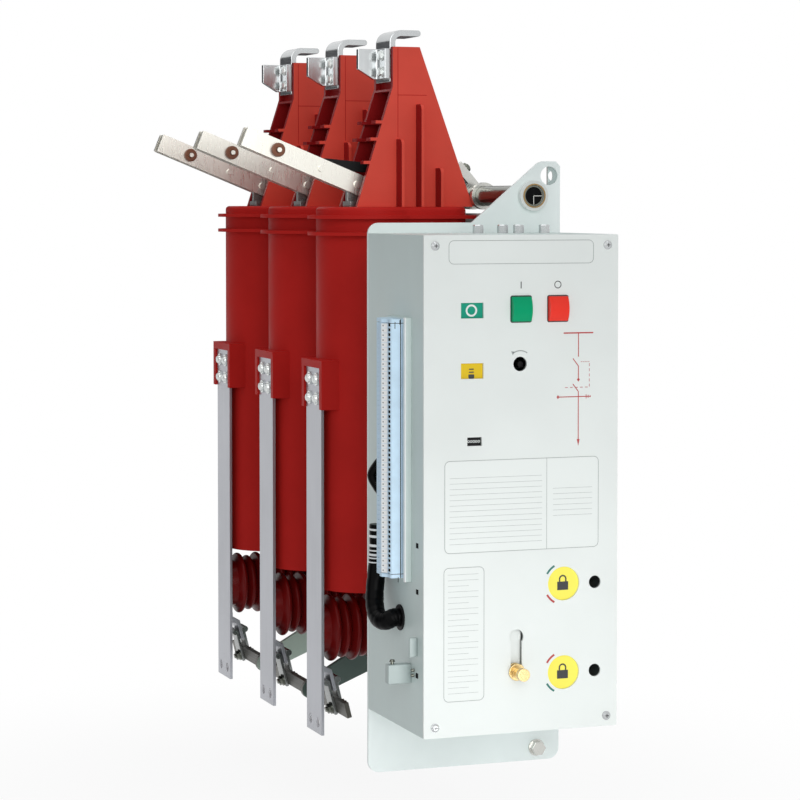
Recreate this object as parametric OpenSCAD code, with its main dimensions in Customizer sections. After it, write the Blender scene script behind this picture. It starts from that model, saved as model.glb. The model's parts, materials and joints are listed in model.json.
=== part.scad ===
// Side-mounted indoor vacuum circuit breaker with an isolating switch above and an earthing switch below.
// X runs along the front panel to the right, Y runs back from the panel to the poles, Z is up.
// The origin lies on the outer face of the side frame, level with the middle pole and the middle of the case.

/* [Poles] */
// Distance between neighbouring poles
phase_pitch = 210; // [196:1:240]
// Distance from the side frame's outer face to the pole axis
pole_reach = 182; // [176:1:200]
// Diameter of the moulded pole
pole_d = 136; // [124:1:144]
// Height of the pole's top face
pole_top_z = 323; // [315:1:330]
// Height of the pole's open lower end
pole_bottom_z = -172; // [-178:1:-160]
// Wall of the pole's open lower end
pole_wall = 12; // [8:1:18]
// Thickness of the oblong head on the pole
head_h = 40; // [36:1:46]
// Half width of the oblong head
head_half_w = 60; // [58:1:66]
// How far the two creepage fins stand out
fin_out = 11; // [6:1:14]
// Thickness of a creepage fin
fin_t = 4.5; // [3:0.5:7]
// Half width of the feet that hold a pole on the side frame
foot_half_w = 36; // [28:1:44]

/* [Lower terminals] */
// Width of the flat load bar
bar_w = 61; // [50:1:64]
// Thickness of the flat load bar
bar_t = 4; // [3:0.5:6]
// Distance from the pole axis to the bar's outer face
bar_reach = 75; // [73:1:82]
// Height of the bar's upper end
bar_top_z = 116; // [104:1:122]
// Height of the bar's lower end
bar_bottom_z = -359; // [-380:1:-345]
// Wall of the moulded shroud round the terminal
shroud_wall = 10; // [7:1:12]
// Height of the shroud
shroud_h = 63; // [54:1:72]

/* [Post insulators] */
// Height of the insulator axis
post_z = -224; // [-230:1:-221]
// Length of a post insulator
post_len = 132; // [122:1:142]
// Diameter of the large sheds
post_d = 87; // [76:1:94]
// Diameter of the core
post_core_d = 62; // [54:1:70]
// Number of sheds
post_sheds = 8; // [5:1:9]

/* [Isolating tower] */
// Height of the tower above the pole
tower_h = 206; // [200:1:215]
// Width of the tower
tower_w = 72; // [66:1:84]
// Thickness of the tower's side walls
tower_wall = 7; // [5:0.5:9]
// Length of the tower's top
tower_top_len = 37; // [34:1:46]
// Height of the straight part under the top
tower_neck_h = 51; // [47:1:58]
// How far the side ribs stand out
rib_out = 20; // [12:1:22]
// Thickness of a side rib
rib_t = 4; // [3:0.5:6]

/* [Upper terminals] */
// Width of the angle terminal
hook_w = 54; // [44:1:56]
// Thickness of the angle terminal
hook_t = 8; // [6:0.5:10]
// How far the angle terminal rises over the tower
hook_rise = 22; // [18:1:28]
// Thickness of the fixed contact tongue
tongue_t = 8; // [6:0.5:10]
// Height of the fixed contact
tongue_h = 39; // [34:1:42]

/* [Isolating switch] */
// Length of a blade from its pivot to the tip
blade_len = 164; // [160:1:167]
// Width of a blade bar
blade_w = 26; // [22:1:28]
// Thickness of each of the two blade bars
blade_bar_t = 6; // [4:0.5:7]
// Angle of the open blade above the level
blade_angle = 22; // [18:1:26]
// Height of the pivot above the pole
pivot_rise = 29; // [28:1:32]
// Diameter of the pivot pin
pivot_d = 10; // [8:0.5:12]
// Distance from the pivot to the pull rod's pin
crank = 54; // [50:1:57]
// Diameter of the pull rod's pins
rod_pin_d = 8; // [6:0.5:9]
// Outer diameter of the isolator shaft
shaft_d = 26; // [22:1:27]
// Distance from the side frame's outer face to the isolator shaft
shaft_reach = 38; // [36:1:40]
// Height of the isolator shaft over the pole heads
shaft_rise = 14; // [12:1:17]

/* [Earthing switch] */
// Distance from the insulators' bracket face to the earthing shaft
earth_setback = 21; // [19:1:25]
// Height of the earthing shaft
earth_z = -262; // [-266:1:-258]
// Diameter of the earthing shaft
earth_shaft_d = 25; // [20:1:28]
// Width of an earthing arm
arm_w = 31; // [26:1:36]
// Thickness of an earthing arm
arm_t = 8; // [6:1:12]
// Width of the cross bar
cross_w = 20; // [16:1:26]
// Thickness of the cross bar
cross_t = 6; // [5:0.5:8]
// Width of a contact finger
finger_w = 24; // [18:1:34]

/* [Mechanism case] */
// Width of the case and of its front panel
case_w = 245; // [236:1:260]
// Height of the case
case_h = 583; // [570:1:600]
// Depth of the case
case_d = 190; // [180:1:205]
// Sheet thickness of the case
case_wall = 3; // [2:0.5:4]
// Thickness of the front panel
panel_t = 3; // [2:0.5:4]

/* [Mounting plate] */
// Thickness of the mounting plate
plate_t = 4; // [3:0.5:6]
// Clear distance from the plate's rear face to the first pole's axis
plate_gap = 201; // [190:1:215]
// How far the plate runs on below the case
plate_drop = 79.5; // [75:0.5:90]
// How far the plate rises over the case
plate_rise = 12.5; // [9:0.5:16]
// Height of the lifting ear's top over the isolator shaft
ear_rise = 43; // [39:1:55]
// Diameter of the lifting hole
lift_hole_d = 23; // [18:1:24]

/* [Side frame] */
// Sheet thickness of the side frame
frame_t = 4; // [3:0.5:6]
// Depth of the side frame's top below the pole heads
frame_drop = 9; // [8:1:13]
// Height of the frame's lower edge
frame_bottom_z = -300; // [-320:1:-295]
// Length of the frame behind the last pole's axis
frame_tail = 90; // [86:1:120]
// Diameter of the frame's fixing holes
fix_hole_d = 13; // [9:0.5:18]

/* [Clearances] */
// Gap round a pin or shaft
pin_gap = 0.3; // [0.2:0.05:0.5]
// Gap beside a flat moving piece
side_gap = 0.5; // [0.3:0.05:0.8]

/* [Hidden] */
$fn = 64;

// Colours as the photograph shows them
epoxy_red = [0.72, 0.16, 0.13];
zinc = [0.72, 0.74, 0.75];
bright_silver = [0.86, 0.86, 0.85];
painted_grey = [0.84, 0.89, 0.88];
panel_white = [0.90, 0.92, 0.90];
black_plastic = [0.08, 0.08, 0.08];

// Places of the poles
POLES = [-1, 0, 1];
pole_x = -pole_reach;
function pole_y(i) = phase_pitch * POLES[i];
pole_r = pole_d / 2;
head_bottom_z = pole_top_z - head_h;
head_corner_r = 24;
shroud_top_z = bar_top_z + shroud_wall;
frame_inner_x = -frame_t;

// Isolator shaft, beside the pole heads
shaft_x = -shaft_reach;
shaft_z = pole_top_z + shaft_rise;

// Mounting plate and case
plate_front_y = pole_y(0) - plate_gap - plate_t;
plate_back_y = plate_front_y + plate_t;
panel_back_y = plate_front_y - case_d;
panel_front_y = panel_back_y - panel_t;
case_right_x = -9;
case_left_x = case_right_x - case_w;
panel_mid_x = (case_left_x + case_right_x) / 2;
// The case's top lies a little below the pole heads
case_drop = 31.5;
case_top_z = pole_top_z - case_drop;
case_bottom_z = case_top_z - case_h;
plate_bottom_z = case_bottom_z - plate_drop;
plate_top_z = case_top_z + plate_rise;
lift_x = -15;
ear_z = shaft_z + ear_rise;
lift_z = ear_z - 18;
earth_bolt_x = -31;
earth_bolt_z = plate_bottom_z + 16;
earth_bolt_d = 10;
earth_nut_h = earth_bolt_d;
earth_tail = 4;
// Room round the earth bolt behind the plate
earth_room = 3;
frame_back_y = pole_y(2) + frame_tail;
frame_top_z = pole_top_z - frame_drop;

// Isolating tower, which ends beside the isolator shaft
tower_base_z = pole_top_z;
tower_top_z = tower_base_z + tower_h;
tower_left_x = pole_x + 21;
tower_right_x = tower_left_x + tower_top_len;
tower_foot_left_x = pole_x - 28;
tower_foot_right_x = shaft_x - 12;
head_end_x = tower_foot_right_x - 12;
tower_neck_z = tower_top_z - tower_neck_h;
tower_half_w = tower_w / 2;
tower_inner_half = tower_half_w - tower_wall;
function tower_right_at(z) = tower_foot_right_x
    + (tower_right_x - tower_foot_right_x) * (z - tower_base_z) / tower_h;
function tower_left_at(z) = z > tower_neck_z ? tower_left_x : tower_foot_left_x
    + (tower_left_x - tower_foot_left_x) * (z - tower_base_z) / (tower_h - tower_neck_h);

// Angle terminal and fixed contact
hook_seat_x = tower_left_x + hook_t - 1;
hook_face_x = hook_seat_x - hook_t;
hook_top_z = tower_top_z + hook_rise;
hook_leg_h = hook_rise + tongue_h + 6;
hook_run = 43;
tongue_top_z = tower_top_z - 2;
tongue_tip_x = pole_x - 15;

// Isolating switch
pivot_x = pole_x - 18;
pivot_z = pole_top_z + pivot_rise;
blade_gap = tongue_t + 2 * side_gap;
blade_tail = 12;
spring_at = 117;
spring_pin_d = 6;
shaft_r = shaft_d / 2;
rod_dx = -crank * cos(blade_angle);
rod_dz = crank * sin(blade_angle);
collar_r = shaft_r + 4.6;
ear_t = 6;
bush_wall = 4;

// Earthing switch
bar_back_x = pole_x - bar_reach + bar_t;
bracket_x = bar_back_x + post_len;
earth_x = bracket_x + earth_setback;
cross_x = pole_x - 46;
cross_z = earth_z - 62;
finger_tilt = 14;
finger_t = 4;
finger_up = 37;
finger_down = 12;
earth_blade_t = cross_t - 1.4;
// Point at a distance s up the fingers and n across them, from the middle of the cross bar
function finger_point(s, n) = [
    cross_x - s * sin(finger_tilt) + n * cos(finger_tilt),
    cross_z + s * cos(finger_tilt) + n * sin(finger_tilt)
];
arm_y = phase_pitch / 2;

// Draws its children, given in X and Z, as a plate from y0 to y1
module plate_xz(y0, y1) {
    translate([0, y1, 0]) rotate([90, 0, 0]) linear_extrude(y1 - y0) children();
}
// A round bar along Y
module bar_y(d, y0, y1, x = 0, z = 0) {
    translate([x, y0, z]) rotate([-90, 0, 0]) cylinder(d = d, h = y1 - y0);
}
// A round bar along X
module bar_x(d, x0, x1, y = 0, z = 0) {
    translate([x0, y, z]) rotate([0, 90, 0]) cylinder(d = d, h = x1 - x0);
}
// A box between two corners
module box(low, high) {
    translate(low) cube(high - low);
}
// A rectangle with round corners, between two corners
module round_rect(x0, z0, x1, z1, r) {
    translate([x0 + r, z0]) square([x1 - x0 - 2 * r, z1 - z0]);
    translate([x0, z0 + r]) square([x1 - x0, z1 - z0 - 2 * r]);
    for (x = [x0 + r, x1 - r], z = [z0 + r, z1 - r]) translate([x, z]) circle(r);
}
// A straight link between two round ends
module link(a, ra, b, rb) {
    along = (b - a) / norm(b - a);
    across = [-along[1], along[0]];
    translate(a) circle(ra);
    translate(b) circle(rb);
    polygon([a + ra * across, b + rb * across, b - rb * across, a - ra * across]);
}

module mounting_plate() {
    corner = 14;
    ear_top_len = 24;
    ear_corner = 6;
    slope_foot_x = -118;
    color(painted_grey) difference() {
        plate_xz(plate_front_y, plate_back_y) difference() {
            union() {
                round_rect(case_left_x, plate_bottom_z, 0, plate_top_z, corner);
                polygon([
                    [slope_foot_x, plate_top_z], [-ear_top_len - 6, ear_z - 2], [-ear_top_len, ear_z],
                    [-ear_corner, ear_z], [0, ear_z - ear_corner], [0, 0], [slope_foot_x, 0]
                ]);
            }
            translate([shaft_x, shaft_z]) circle(d = shaft_d + 2 * bush_wall);
            translate([lift_x, lift_z]) circle(d = lift_hole_d);
            translate([earth_bolt_x, earth_bolt_z]) circle(d = earth_bolt_d);
        }
    }
}

module side_frame() {
    flange_w = 50;
    ear_flange_w = 15;
    fix_y = [plate_back_y + 70, frame_back_y - 30];
    fix_z = [frame_bottom_z + 50, frame_top_z - 44];
    eye_d = 13;
    eye_x = -8;
    color(painted_grey) difference() {
        union() {
            // Web that bolts to the cubicle
            box([-frame_t, plate_back_y, frame_bottom_z], [0, frame_back_y, frame_top_z]);
            // Upper and lower flanges
            box([-flange_w, plate_back_y, frame_top_z - frame_t], [0, frame_back_y, frame_top_z]);
            box([-flange_w, plate_back_y, frame_bottom_z], [0, frame_back_y, frame_bottom_z + frame_t]);
            // Front flange behind the mounting plate, with the lifting ear
            box([-flange_w, plate_back_y, frame_bottom_z], [0, plate_back_y + frame_t, frame_top_z]);
            box([-ear_flange_w, plate_back_y, 0], [0, plate_back_y + frame_t, ear_z - 6]);
        }
        for (y = fix_y, z = fix_z) bar_x(fix_hole_d, -frame_t - 1, 1, y, z);
        bar_y(eye_d, plate_back_y - 1, plate_back_y + frame_t + 1, eye_x, lift_z);
        bar_y(shaft_d + 2 * bush_wall, plate_back_y - 1, plate_back_y + frame_t + 1, shaft_x, shaft_z);
        // Clears the earth bolt's nut where a low case brings it up to the flange
        bar_y(2 * earth_bolt_d + 2 * earth_room, plate_back_y - 1,
            plate_back_y + earth_nut_h + earth_tail + earth_room, earth_bolt_x, earth_bolt_z);
    }
}

module rear_bearing_plate() {
    low_z = shaft_z - 137;
    high_z = shaft_z + 30;
    width = 70;
    corner = 8;
    color(painted_grey) plate_xz(frame_back_y, frame_back_y + frame_t) difference() {
        polygon([
            [-width, low_z], [0, low_z], [0, high_z - corner], [-corner, high_z],
            [shaft_x - shaft_r, high_z], [-width, shaft_z]
        ]);
        translate([shaft_x, shaft_z]) circle(d = shaft_d + 2 * pin_gap);
    }
}

module mechanism_case() {
    lip = 16;
    color(painted_grey) difference() {
        box([case_left_x, panel_back_y, case_bottom_z], [case_right_x, plate_front_y, case_top_z]);
        box([case_left_x + case_wall, panel_back_y + case_wall, case_bottom_z + case_wall],
            [case_right_x - case_wall, plate_front_y + 1, case_top_z - case_wall]);
        box([case_left_x + lip, panel_back_y - 1, case_bottom_z + lip],
            [case_right_x - lip, panel_back_y + case_wall + 1, case_top_z - lip]);
        bar_x(grommet_bore_d, case_left_x - 1, case_left_x + case_wall + 1, grommet_y, grommet_z);
    }
}

// Places on the front panel
button_w = 24.5;
button_h = 29;
button_z = case_top_z - 86.5;
close_x = panel_mid_x - 1.5;
open_x = close_x + 46.5;
window_w = 28;
window_h = 18;
window_x = case_left_x + 60;
position_z = case_top_z - 87.5;
charge_z = case_top_z - 157.5;
counter_x = case_left_x + 63;
counter_z = case_top_z - 239.5;
counter_w = 18;
counter_h = 10;
charge_hole_x = panel_mid_x - 2.5;
charge_hole_z = case_top_z - 150.5;
charge_hole_d = 17;
disc_x = case_right_x - 69;
isolator_disc_z = case_bottom_z + 172.5;
earthing_disc_z = case_bottom_z + 67.5;
disc_d = 40;
key_hole_x = case_right_x - 29;
key_hole_d = 15;
slot_x = panel_mid_x - 6.5;
slot_w = 14;
slot_top_z = case_bottom_z + 112.5;
slot_head_d = 18;
knob_z = case_bottom_z + 71.5;
// How far a flag, counter or shutter laps behind the edge of its hole
lap = 4;

module panel_cutouts() {
    for (x = [close_x, open_x]) translate([x, button_z]) square([button_w + 1, button_h + 1], center = true);
    for (z = [position_z, charge_z]) translate([window_x, z]) square([window_w, window_h], center = true);
    translate([counter_x, counter_z]) square([counter_w, counter_h], center = true);
    translate([charge_hole_x, charge_hole_z]) circle(d = charge_hole_d);
    for (z = [isolator_disc_z, earthing_disc_z]) {
        translate([disc_x, z]) circle(d = disc_d);
        translate([key_hole_x, z]) circle(d = key_hole_d);
    }
    translate([slot_x, slot_top_z]) circle(d = slot_head_d);
    translate([slot_x, knob_z]) circle(d = slot_w);
    translate([slot_x - slot_w / 2, knob_z]) square([slot_w, slot_top_z - knob_z]);
}

module front_panel() {
    color(panel_white) plate_xz(panel_front_y, panel_back_y) difference() {
        round_rect(case_left_x, case_bottom_z, case_right_x, case_top_z, 2);
        panel_cutouts();
    }
}

// A push button with a flange behind the panel
module push_button(x) {
    proud = 7.5;
    // The face is rounded about a level axis, so its upper and lower edges stand back
    set_back = 4.5;
    face_r = (pow(button_h / 2, 2) + pow(set_back, 2)) / (2 * set_back);
    flange = 4;
    translate([x, 0, button_z]) {
        intersection() {
            box([-button_w / 2, panel_front_y - proud, -button_h / 2],
                [button_w / 2, panel_back_y, button_h / 2]);
            bar_x(2 * face_r, -button_w / 2 - 1, button_w / 2 + 1, panel_front_y - proud + face_r, 0);
        }
        box([-button_w / 2 - flange, panel_back_y, -button_h / 2 - flange],
            [button_w / 2 + flange, panel_back_y + 4, button_h / 2 + flange]);
    }
}
module close_button() { color([0.02, 0.55, 0.38]) push_button(close_x); }
module open_button() { color([0.86, 0.16, 0.12]) push_button(open_x); }

// A flag that sits behind a hole in the panel
module flag(x, z, w, h, deep) {
    translate([x - w / 2 - lap, panel_back_y, z - h / 2 - lap]) cube([w + 2 * lap, deep, h + 2 * lap]);
}
module position_indicator() { color([0.03, 0.5, 0.4]) flag(window_x, position_z, window_w, window_h, 2); }
module charge_indicator() { color([0.88, 0.72, 0.15]) flag(window_x, charge_z, window_w, window_h, 2); }
module operation_counter() { color(black_plastic) flag(counter_x, counter_z, counter_w, counter_h, 25); }
module shutter(z) {
    bar_y(disc_d + 2 * lap, panel_back_y, panel_back_y + 2, disc_x, z);
}
module isolator_shutter() { color([0.95, 0.9, 0.3]) shutter(isolator_disc_z); }
module earthing_shutter() { color([0.95, 0.9, 0.3]) shutter(earthing_disc_z); }

module interlock_knob() {
    neck_d = slot_w - 4;
    washer_d = slot_w + 6;
    washer_t = 3;
    grip_d = 15;
    grip_y = [panel_front_y - 24, panel_front_y - 16];
    color([0.85, 0.68, 0.32]) {
        bar_y(neck_d, grip_y[0] + 2, panel_back_y + 2 * washer_t, slot_x, knob_z);
        bar_y(grip_d, grip_y[0], grip_y[1], slot_x, knob_z);
        // Washers in front of the panel and behind it
        bar_y(washer_d, panel_front_y - washer_t - pin_gap, panel_front_y - pin_gap, slot_x, knob_z);
        bar_y(washer_d, panel_back_y + pin_gap, panel_back_y + washer_t + pin_gap, slot_x, knob_z);
    }
}

// Terminal strip, its cable and the small pieces on the case's left wall
strip_y0 = panel_back_y + 47;
strip_low_z = case_bottom_z + 181.5;
strip_top_z = case_top_z - 98.5;
strip_len = 60;
rail_t = 5.5;
rail_lap = 10;
cable_d = 20;
cable_gap = 0.45;
grommet_bore_d = 26;
grommet_y = panel_back_y + 75;
grommet_z = strip_low_z - 51;

module terminal_strip() {
    // Terminals: outline of one, out from the wall and back from the strip's front
    face = 22;
    marker = 26;
    outline = [
        [rail_t - 1, 0], [face - 2, 0], [face, 2], [face, 13], [marker, 14], [marker, 26], [face, 27],
        [face, strip_len - 8], [face - 6, strip_len], [rail_t - 1, strip_len]
    ];
    color([0.72, 0.80, 0.88]) {
        box([case_left_x - rail_t, strip_y0 - rail_lap, strip_low_z - 4],
            [case_left_x, strip_y0 + strip_len + 4, strip_top_z + 2]);
        translate([0, 0, strip_low_z]) linear_extrude(strip_top_z - strip_low_z)
            polygon([for (p = outline) [case_left_x - p[0], strip_y0 + p[1]]]);
    }
}

// The cable comes down behind the strip and turns forward into the grommet.
// Each point is given from the case's front left edge and the grommet's height.
cable_path = [
    [-12, 119, 106], [-12, 119, 76], [-14, 119, 51], [-16.5, 118, 32], [-19, 113, 16], [-20.5, 105, 5],
    [-20.5, 96, -2], [-19, 87, -4.5], [-15.5, 80, -4], [-12, 76, -1.5], [-9, 75, 0], [-7, 75, 0], [-5, 75, 0],
    [5, 75, 0], [6, 75, 0]
];
cable_sides = 16;
function cable_at(i) = [case_left_x, panel_back_y, grommet_z] + cable_path[i];
function cable_dir(i) = let (a = cable_at(max(0, i - 1)), b = cable_at(min(len(cable_path) - 1, i + 1)))
    (b - a) / norm(b - a);
function cable_ring(i) = let (
    t = cable_dir(i),
    u0 = cross(t, [1, 1, 1]),
    u = u0 / norm(u0),
    v = cross(t, u)
) [for (k = [0:cable_sides - 1]) cable_at(i)
    + cable_d / 2 * (cos(360 * k / cable_sides) * u + sin(360 * k / cable_sides) * v)];
module cable_harness() {
    n = len(cable_path);
    s = cable_sides;
    points = [for (i = [0:n - 1]) each cable_ring(i)];
    sides = [for (i = [0:n - 2], k = [0:s - 1])
        [i * s + k, (i + 1) * s + k, (i + 1) * s + (k + 1) % s, i * s + (k + 1) % s]];
    caps = [[for (k = [0:s - 1]) k], [for (k = [s - 1:-1:0]) (n - 1) * s + k]];
    color(black_plastic) polyhedron(points, concat(sides, caps));
}

module cable_grommet() {
    color(black_plastic) translate([case_left_x, grommet_y, grommet_z]) rotate([0, 90, 0]) difference() {
        union() {
            translate([0, 0, -2]) cylinder(d = grommet_bore_d + 5, h = 2);
            cylinder(d = grommet_bore_d, h = case_wall);
        }
        translate([0, 0, -4]) cylinder(d = cable_d + 2 * cable_gap, h = case_wall + 8);
    }
}

module side_latch() {
    // Bracket that stands out from the wall, with a small stop in front of it
    bracket = [29, 12, 23];
    bracket_y = panel_back_y + 37;
    bracket_z = case_bottom_z + 58.5;
    stop = [10, 4, 23];
    stop_y = panel_back_y + 17;
    stop_z = bracket_z + 34;
    color(painted_grey) {
        translate([case_left_x - bracket[0], bracket_y, bracket_z]) cube(bracket);
        translate([case_left_x - stop[0], stop_y, stop_z]) cube(stop);
    }
}

module earth_terminal() {
    washer_t = 2.5;
    washer_d = 2.1 * earth_bolt_d;
    hex_d = 1.85 * earth_bolt_d;
    head_h = 0.8 * earth_bolt_d;
    color(zinc) translate([earth_bolt_x, 0, earth_bolt_z]) {
        bar_y(earth_bolt_d - 2 * pin_gap, plate_front_y - washer_t, plate_back_y + earth_nut_h + earth_tail);
        bar_y(washer_d, plate_front_y - washer_t, plate_front_y);
        translate([0, plate_front_y - washer_t, 0]) rotate([90, 0, 0]) cylinder(d = hex_d, h = head_h, $fn = 6);
        translate([0, plate_back_y + earth_nut_h, 0]) rotate([90, 0, 0])
            cylinder(d = hex_d, h = earth_nut_h, $fn = 6);
    }
}

module shaft_bush() {
    color(panel_white) difference() {
        union() {
            bar_y(shaft_d + 3 * bush_wall, plate_front_y - 8, plate_front_y, shaft_x, shaft_z);
            bar_y(shaft_d + 2 * bush_wall, plate_front_y - 1, plate_back_y + frame_t, shaft_x, shaft_z);
        }
        bar_y(shaft_d + 2 * pin_gap, plate_front_y - 10, plate_back_y + frame_t + 1, shaft_x, shaft_z);
    }
}

// Outline of the pole's oblong head, grown by a margin
module head_outline(grow = 0) {
    r = pole_r + grow;
    end = head_end_x + grow;
    w = head_half_w + grow;
    corner = head_corner_r;
    translate([pole_x, 0]) circle(r);
    translate([pole_x, -w]) square([end - corner - pole_x, 2 * w]);
    translate([pole_x, -w + corner]) square([end - pole_x, 2 * (w - corner)]);
    for (y = [-w + corner, w - corner]) translate([end - corner, y]) circle(corner);
}

module pole(i) {
    fin_z = [pole_top_z - 15.5, pole_top_z - 37];
    shroud_x = pole_x - bar_reach - 3;
    bar_half = bar_w / 2 + 1;
    shroud_half = bar_half + shroud_wall;
    foot_z = [[130, 230], [-150, -60]];
    color(epoxy_red) translate([0, pole_y(i), 0]) difference() {
        union() {
            translate([pole_x, 0, pole_bottom_z]) cylinder(d = pole_d, h = pole_top_z - pole_bottom_z);
            translate([0, 0, head_bottom_z]) linear_extrude(head_h) head_outline();
            for (z = fin_z) translate([0, 0, z]) linear_extrude(fin_t) head_outline(fin_out);
            box([shroud_x, -shroud_half, shroud_top_z - shroud_h], [pole_x, shroud_half, shroud_top_z]);
            for (f = foot_z) box([pole_x, -foot_half_w, f[0]], [frame_inner_x, foot_half_w, f[1]]);
        }
        // Recess for the load bar, open to the side and below
        box([shroud_x - 1, -bar_half, shroud_top_z - shroud_h - 1], [bar_back_x, bar_half, bar_top_z]);
        // Shallow recess in the lower end
        translate([pole_x, 0, pole_bottom_z - 1]) cylinder(d = pole_d - 2 * pole_wall, h = 5);
    }
}

module tower_outline() {
    polygon([
        [tower_foot_left_x, tower_base_z], [tower_foot_right_x, tower_base_z],
        [tower_right_x, tower_top_z], [tower_left_x, tower_top_z], [tower_left_x, tower_neck_z]
    ]);
}

module tower(i) {
    web = 8;
    floor_t = 8;
    floor_x = pole_x + 16;
    slot_half = 24;
    slot_top = tower_base_z + 92;
    slot_len = 26;
    hollow_top = tower_neck_z - 6;
    fin_z = [tower_base_z + 109, tower_base_z + 87, tower_base_z + 57];
    fin_len = 9;
    low_fin_half = tower_inner_half - 5;
    notch_half = 19;
    rod_half = tongue_t / 2 + 6;
    // Place along the tower and height of each side rib
    ribs = [[26, 87], [53, 132], [80, 50]];
    rib_round = 8;
    rib_y = tower_half_w + rib_out;
    color(epoxy_red) translate([0, pole_y(i), 0]) {
        difference() {
            plate_xz(-tower_half_w, tower_half_w) tower_outline();
            // Seat of the angle terminal
            box([tower_left_x - 1, -tower_inner_half, hollow_top],
                [hook_seat_x, tower_inner_half, tower_top_z + 1]);
            // Hollow, open towards the blade
            plate_xz(-tower_inner_half, tower_inner_half) polygon([
                [tower_foot_left_x - 1, tower_base_z + floor_t],
                [tower_right_at(tower_base_z + floor_t) - web, tower_base_z + floor_t],
                [tower_right_at(hollow_top) - web, hollow_top], [tower_foot_left_x - 1, hollow_top]
            ]);
            box([tower_foot_left_x - 1, -tower_inner_half, tower_base_z - 1],
                [floor_x, tower_inner_half, tower_base_z + floor_t + 1]);
            // Slot for the lever and the pull rod
            box([tower_foot_right_x - slot_len, -slot_half, tower_base_z - 1],
                [tower_foot_right_x + 1, slot_half, slot_top]);
            box([tower_right_at(slot_top) - web - 4, -slot_half, tower_base_z + floor_t],
                [tower_foot_right_x + 1, slot_half, slot_top]);
        }
        // Inner fins, notched for the blade
        for (k = [0:1]) difference() {
            box([tower_left_at(fin_z[k]) - fin_len, -tower_half_w, fin_z[k] - 2],
                [tower_right_at(fin_z[k]) - web + 1, tower_half_w, fin_z[k] + 2]);
            box([tower_left_at(fin_z[k]) - fin_len - 1, -notch_half, fin_z[k] - 3],
                [tower_left_at(fin_z[k]) + 8, notch_half, fin_z[k] + 3]);
            if (k == 1) box([tower_left_at(fin_z[k]), -rod_half, fin_z[k] - 3],
                [tower_right_at(fin_z[k]) - web, rod_half, fin_z[k] + 3]);
        }
        for (s = [-1, 1]) box(
            [tower_left_at(fin_z[2]) - fin_len, min(s * tower_half_w, s * low_fin_half), fin_z[2] - 2],
            [tower_right_at(fin_z[2]) - web, max(s * tower_half_w, s * low_fin_half), fin_z[2] + 2]);
        // Thin ribs on both sides, rounded at the top
        for (r = ribs, s = [0, 1]) mirror([0, s, 0]) translate([pole_x + r[0], 0, tower_base_z])
            rotate([90, 0, 90]) linear_extrude(rib_t) {
                translate([tower_half_w - 1, 0]) square([rib_out + 1 - rib_round, r[1]]);
                translate([tower_half_w - 1, 0]) square([rib_out + 1, r[1] - rib_round]);
                translate([rib_y - rib_round, r[1] - rib_round]) circle(rib_round);
            }
    }
}

module terminal_hook(i) {
    r = 16;
    inner = r - hook_t;
    leg_low = hook_top_z - hook_leg_h;
    color(bright_silver) translate([0, pole_y(i), 0]) plate_xz(-hook_w / 2, hook_w / 2) {
        translate([hook_face_x, leg_low]) square([hook_t, hook_leg_h - r]);
        translate([hook_face_x + r, hook_top_z - hook_t]) square([hook_run - r - hook_t / 2, hook_t]);
        translate([hook_face_x + hook_run - hook_t / 2, hook_top_z - hook_t / 2]) circle(d = hook_t);
        translate([hook_face_x + r, hook_top_z - r]) intersection() {
            difference() {
                circle(r);
                circle(inner);
            }
            translate([-r, 0]) square([r, r]);
        }
    }
}

module static_contact(i) {
    flange_w = 30;
    bend = 3;
    slope_z = 26;
    low_z = tongue_top_z - tongue_h;
    half = tongue_t / 2;
    color(bright_silver) translate([0, pole_y(i), 0]) difference() {
        translate([0, 0, low_z]) linear_extrude(tongue_h) {
            translate([tongue_tip_x, -half]) square([hook_face_x - tongue_tip_x, tongue_t]);
            translate([hook_face_x - tongue_t, -flange_w]) square([tongue_t, flange_w + half]);
            difference() {
                translate([hook_face_x - tongue_t - bend, -half - bend]) square([bend, bend]);
                translate([hook_face_x - tongue_t - bend, -half - bend]) circle(bend);
            }
        }
        plate_xz(-flange_w - 1, half + 1) polygon([
            [tongue_tip_x - 1, low_z - 1], [tongue_tip_x - 1, tongue_top_z - slope_z],
            [tongue_tip_x, tongue_top_z - slope_z], [hook_face_x - tongue_t - 4, low_z - 1]
        ]);
    }
}

module load_bar(i) {
    // Two holes for a cable lug at the lower end
    hole_d = 13;
    hole_y = 15.5;
    hole_z = bar_bottom_z + 15;
    color(bright_silver) translate([0, pole_y(i), 0]) difference() {
        box([pole_x - bar_reach, -bar_w / 2, bar_bottom_z], [bar_back_x, bar_w / 2, bar_top_z]);
        for (y = [-hole_y, hole_y]) bar_x(hole_d, pole_x - bar_reach - 1, bar_back_x + 1, y, hole_z);
    }
}

module post_insulator(i) {
    end_t = 10;
    pitch = (post_len - 2 * end_t) / post_sheds;
    root_t = 12;
    tip_t = 6;
    function shed_r(k) = k % 2 == 0 ? post_d / 2 : post_d / 2 - 4;
    color(epoxy_red) translate([bar_back_x, pole_y(i), post_z]) rotate([0, 90, 0]) rotate_extrude() union() {
        square([post_core_d / 2, post_len]);
        for (k = [0:post_sheds - 1]) translate([0, end_t + (k + 0.5) * pitch]) polygon([
            [post_core_d / 2 - 1, -root_t / 2], [shed_r(k), -tip_t / 2],
            [shed_r(k), tip_t / 2], [post_core_d / 2 - 1, root_t / 2]
        ]);
    }
}

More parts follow.
